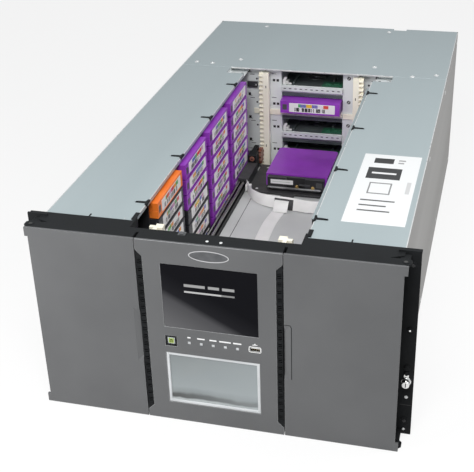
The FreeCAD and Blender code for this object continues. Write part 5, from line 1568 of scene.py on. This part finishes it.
# %% Cross ribbon and its clamp
CROSS_HALF, CROSS_LOW, CROSS_TALL, CROSS_LEAN = 82.5, 90.7, 17.0, 10.0
CLAMP_X, CLAMP_TALL, CLAMP_LEAN = (-25.2, 8.5), 14.6, 8.6
CROSS_BODY = BODY_OF["cross_ribbon"]
CROSS = smooth_line([Vector((x, y, CROSS_LOW)) for x, y in (
    (-CROSS_HALF, 491.5), (-73, 463), (-50, 440), (-22, 432), (0, 430.6),
    (18, 427.5), (38, 425), (58, 434), (74, 460), (CROSS_HALF, 491.5),
)])
sheet_along(
    "cross_ribbon_bow", CROSS, leaning(CROSS, CROSS_LEAN, CROSS_TALL), 0.5, RIBBON, CROSS_BODY,
    "ribbon_white", ["cross_ribbon"],
)
CLAMP = moved([point for point in CROSS if CLAMP_X[0] < point.x < CLAMP_X[1]], (0, -0.6, 0))
sheet_along(
    "ribbon_clamp", CLAMP, leaning(CLAMP, CLAMP_LEAN, CLAMP_TALL), 0.4, BLACK_PLASTIC, CROSS_BODY,
    "black_plastic",
)
print("ribbon points", len(CROSS), "clamp points", len(CLAMP))

# %% Trailing ribbon and the fold between the two
TRAIL_LOW = 89.52
FOLD_X, FOLD_HALF = -11, 11.5
TRAIL = smooth_line([Vector((x, y, TRAIL_LOW)) for x, y in (
    (-11, 112), (-11, 190), (-14, 260), (-18, 320), (-19.5, 377), (-15, 415), (-11, 441),
)])
TRAIL_WIDE = 21.0
TRAIL_RUN = sheet_along(
    "trailing_ribbon_run", moved(TRAIL, (-TRAIL_WIDE / 2, 0, 0)), moved(TRAIL, (TRAIL_WIDE / 2, 0, 0)), 0.4,
    RIBBON, None, "ribbon_white", ["trailing_ribbon"],
)
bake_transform(TRAIL_RUN)
FOLD = smooth_line([Vector((FOLD_X, y, z)) for y, z in (
    (447, 102.4), (438, 102.9), (432.5, 101.2), (428.5, 97), (424.5, 92.8), (420, 90.6),
)])
FOLD_SIDES = [moved(FOLD, (side * FOLD_HALF, 0, 0)) for side in (-1, 1)]
sheet_along("ribbon_fold", *FOLD_SIDES, 0.45, RIBBON, "carriage", "ribbon_white")
print("trail points", len(TRAIL), "fold points", len(FOLD))

# %% [markdown]
# ## The robot
# The gripper carries a small white label, two brass screws and a bright bar. White clips hold the ends of
# the cross ribbon, and brown plugs close the bores at the ends of the rods. All of them ride the body that
# they are fixed to.

# %% Robot details
ROD_STEEL = finish(
    "rod_steel", (0.30, 0.295, 0.285), (0.40, 0.39, 0.38), (0.13, 0.19), 1.0, 0.3, 20, 0.06, ALONG, 0.0,
)
dress("guide_rods", ROD_STEEL)


def make_picker_front():
    """Label, screws, bar and raised fields on the front of the gripper."""
    face = corners("gripper")[0].y
    sketch = bmesh.new()
    add_plate(sketch, (-41.5, -4.0), (106.2, 113.8), face - 0.12, 0.3, 0.6, 0)
    add_plate(sketch, (-38.5, -9.0), (109.4, 110.6), face - 0.16, 0.1, 0.4, 1)
    for x in (2.1, 28.7):
        add_rod(sketch, (x, face + 0.2, 103.2), "y", 3.2, -0.9, 2, tip=2.7)
        add_rod(sketch, (x, face - 0.7, 103.2), "y", 1.5, -0.5, 2, 12, tip=1.2)
    add_plate(sketch, (-46.5, 42.0), (98.6, 101.0), face - 0.7, 0.9, 1.1, 3)
    add_plate(sketch, (6.0, 24.0), (105.6, 108.6), face - 0.2, 0.4, 0.5, 4)
    add_plate(sketch, (34.0, 44.0), (104.0, 113.0), face - 0.25, 0.4, 0.8, 4)
    finishes = [PAPER, KEY_GREY, BRASS, ALUMINIUM, DARK_GREY_AND_EDGE_HIGHLIGHT]
    keep(sketch, "picker_front", finishes, "picker", 0.1)


def make_carriage_details():
    """Clips of the ribbon ends, and screws on the carriage."""
    sketch = bmesh.new()
    for side in (-1, 1):
        side_block(sketch, side, (74.4, 83.2), (484.5, 492.6), (91.0, 100.2), 0)
        side_block(sketch, side, (79.0, 82.0), (478.0, 492.0), (93.0, 104.0), 0)
        add_rod(sketch, (side * 66.0, 492.0, 92.9), "z", 2.6, 0.7, 1, 16, tip=2.0)
        add_rod(sketch, (side * 66.0, 574.0, 92.9), "z", 2.6, 0.7, 1, 16, tip=2.0)
    for x in (-19.0, -3.0):
        add_rod(sketch, (x, 452.0, 92.9), "z", 2.0, 0.8, 1, 16, tip=1.5)
    keep(sketch, "carriage_details", [WHITE_PLASTIC, ZINC], "carriage", 0.5)


def make_lift_details():
    """Groove line and screws of the base plate, and the plugs at the ends of the rods."""
    deck = corners("robot_base_plate")[1].z
    sketch = bmesh.new()
    add_block(sketch, (-68.4, -67.4), (112.0, 566.0), (deck - 0.1, deck + 0.12), 0)
    add_block(sketch, (-74.8, -74.2), (112.0, 566.0), (deck - 0.1, deck + 0.12), 2)
    for side in (-1, 1):
        add_rod(sketch, (side * 91.0, 561.2, 113.0), "y", 4.6, -0.9, 1, tip=4.0)
        add_rod(sketch, (side * 91.0, 560.4, 113.0), "y", 1.6, -0.3, 0, 12)
        for y in (120, 240, 330):
            add_rod(sketch, (side * 56.0, y, deck - 0.2), "z", 2.4, 0.8, 2, 16, tip=1.9)
    keep(sketch, "lift_details", [RUBBER, BROWN, ZINC], "lift", 0.15)
    print("deck at", round(deck, 2))


make_picker_front()
make_carriage_details()
make_lift_details()

# %% [markdown]
# ## The rear
# The back of the module is worked from what such modules have there: each drive sled is held by two thumb
# screws and shows a pair of lights, the mains inlets have three pins and the network sockets a tongue with
# contacts.

# %% Rear details
REAR_FACE = corners("rear_panel")[1].y
SLED_FACE = REAR_FACE + 1.0
INLET_WIDTH = 22
KNOB_SPOTS = [(side * 71, SLED_FACE, level) for side in (-1, 1) for level in LEVELS]
many("sled_knobs", THUMB_KNOB, KNOB_SPOTS, FACING_REAR, DARK_STEEL)
LENS = turned_shape("lens", [(1.6, -0.3), (1.6, 0.3), (1.1, 0.7), (0.4, 0.8)], 14)
LIGHT_SPOTS = [(x, SLED_FACE, level + 12) for x in (52, 58) for level in LEVELS]
many("sled_lights", LENS, LIGHT_SPOTS, FACING_REAR, KEY_GREY)
VENT_MARK = local_shape("vent_mark", 0.3, ((-1.1, 1.1), (-0.2, 0.12), (-6.0, 6.0)))
VENT_SPOTS = [(-60 + 4.5 * number, SLED_FACE, level) for level in LEVELS for number in range(6)]
dark_marks("sled_vents", VENT_MARK, VENT_SPOTS)
REAR_SPOTS = [(x, REAR_FACE, z) for x in (-214, -100, 100, 214) for z in (8, 128, 249)]
many("rear_screws", FLAT_HEAD, REAR_SPOTS, FACING_REAR, ZINC)


def make_socket_insides():
    """Pins in the mains inlets, and a tongue with contacts in the network sockets."""
    sketch = bmesh.new()
    for low, high in islands("rear_sockets"):
        middle_x, middle_z = (low[0] + high[0]) / 2, (low[2] + high[2]) / 2
        if high[0] - low[0] > INLET_WIDTH:
            for shift_x, shift_z in ((-7, -2), (0, 3), (7, -2)):
                x, z = middle_x + shift_x, middle_z + shift_z
                add_block(sketch, span(x, 1.0), (low[1] + 2, high[1] - 1), span(z, 2.6), 0)
        else:
            for number in range(8):
                x = middle_x - 4.2 + 1.2 * number
                deep, tall = (low[1] + 2.5, high[1] - 2), (high[2] - 3.2, high[2] - 2.6)
                add_block(sketch, span(x, 0.3), deep, tall, 1)
    keep(sketch, "socket_insides", [BRIGHT_STEEL, BRASS], "chassis", 0.1)


make_socket_insides()
print("rear pieces", len(KNOB_SPOTS) + len(VENT_SPOTS) + len(REAR_SPOTS))
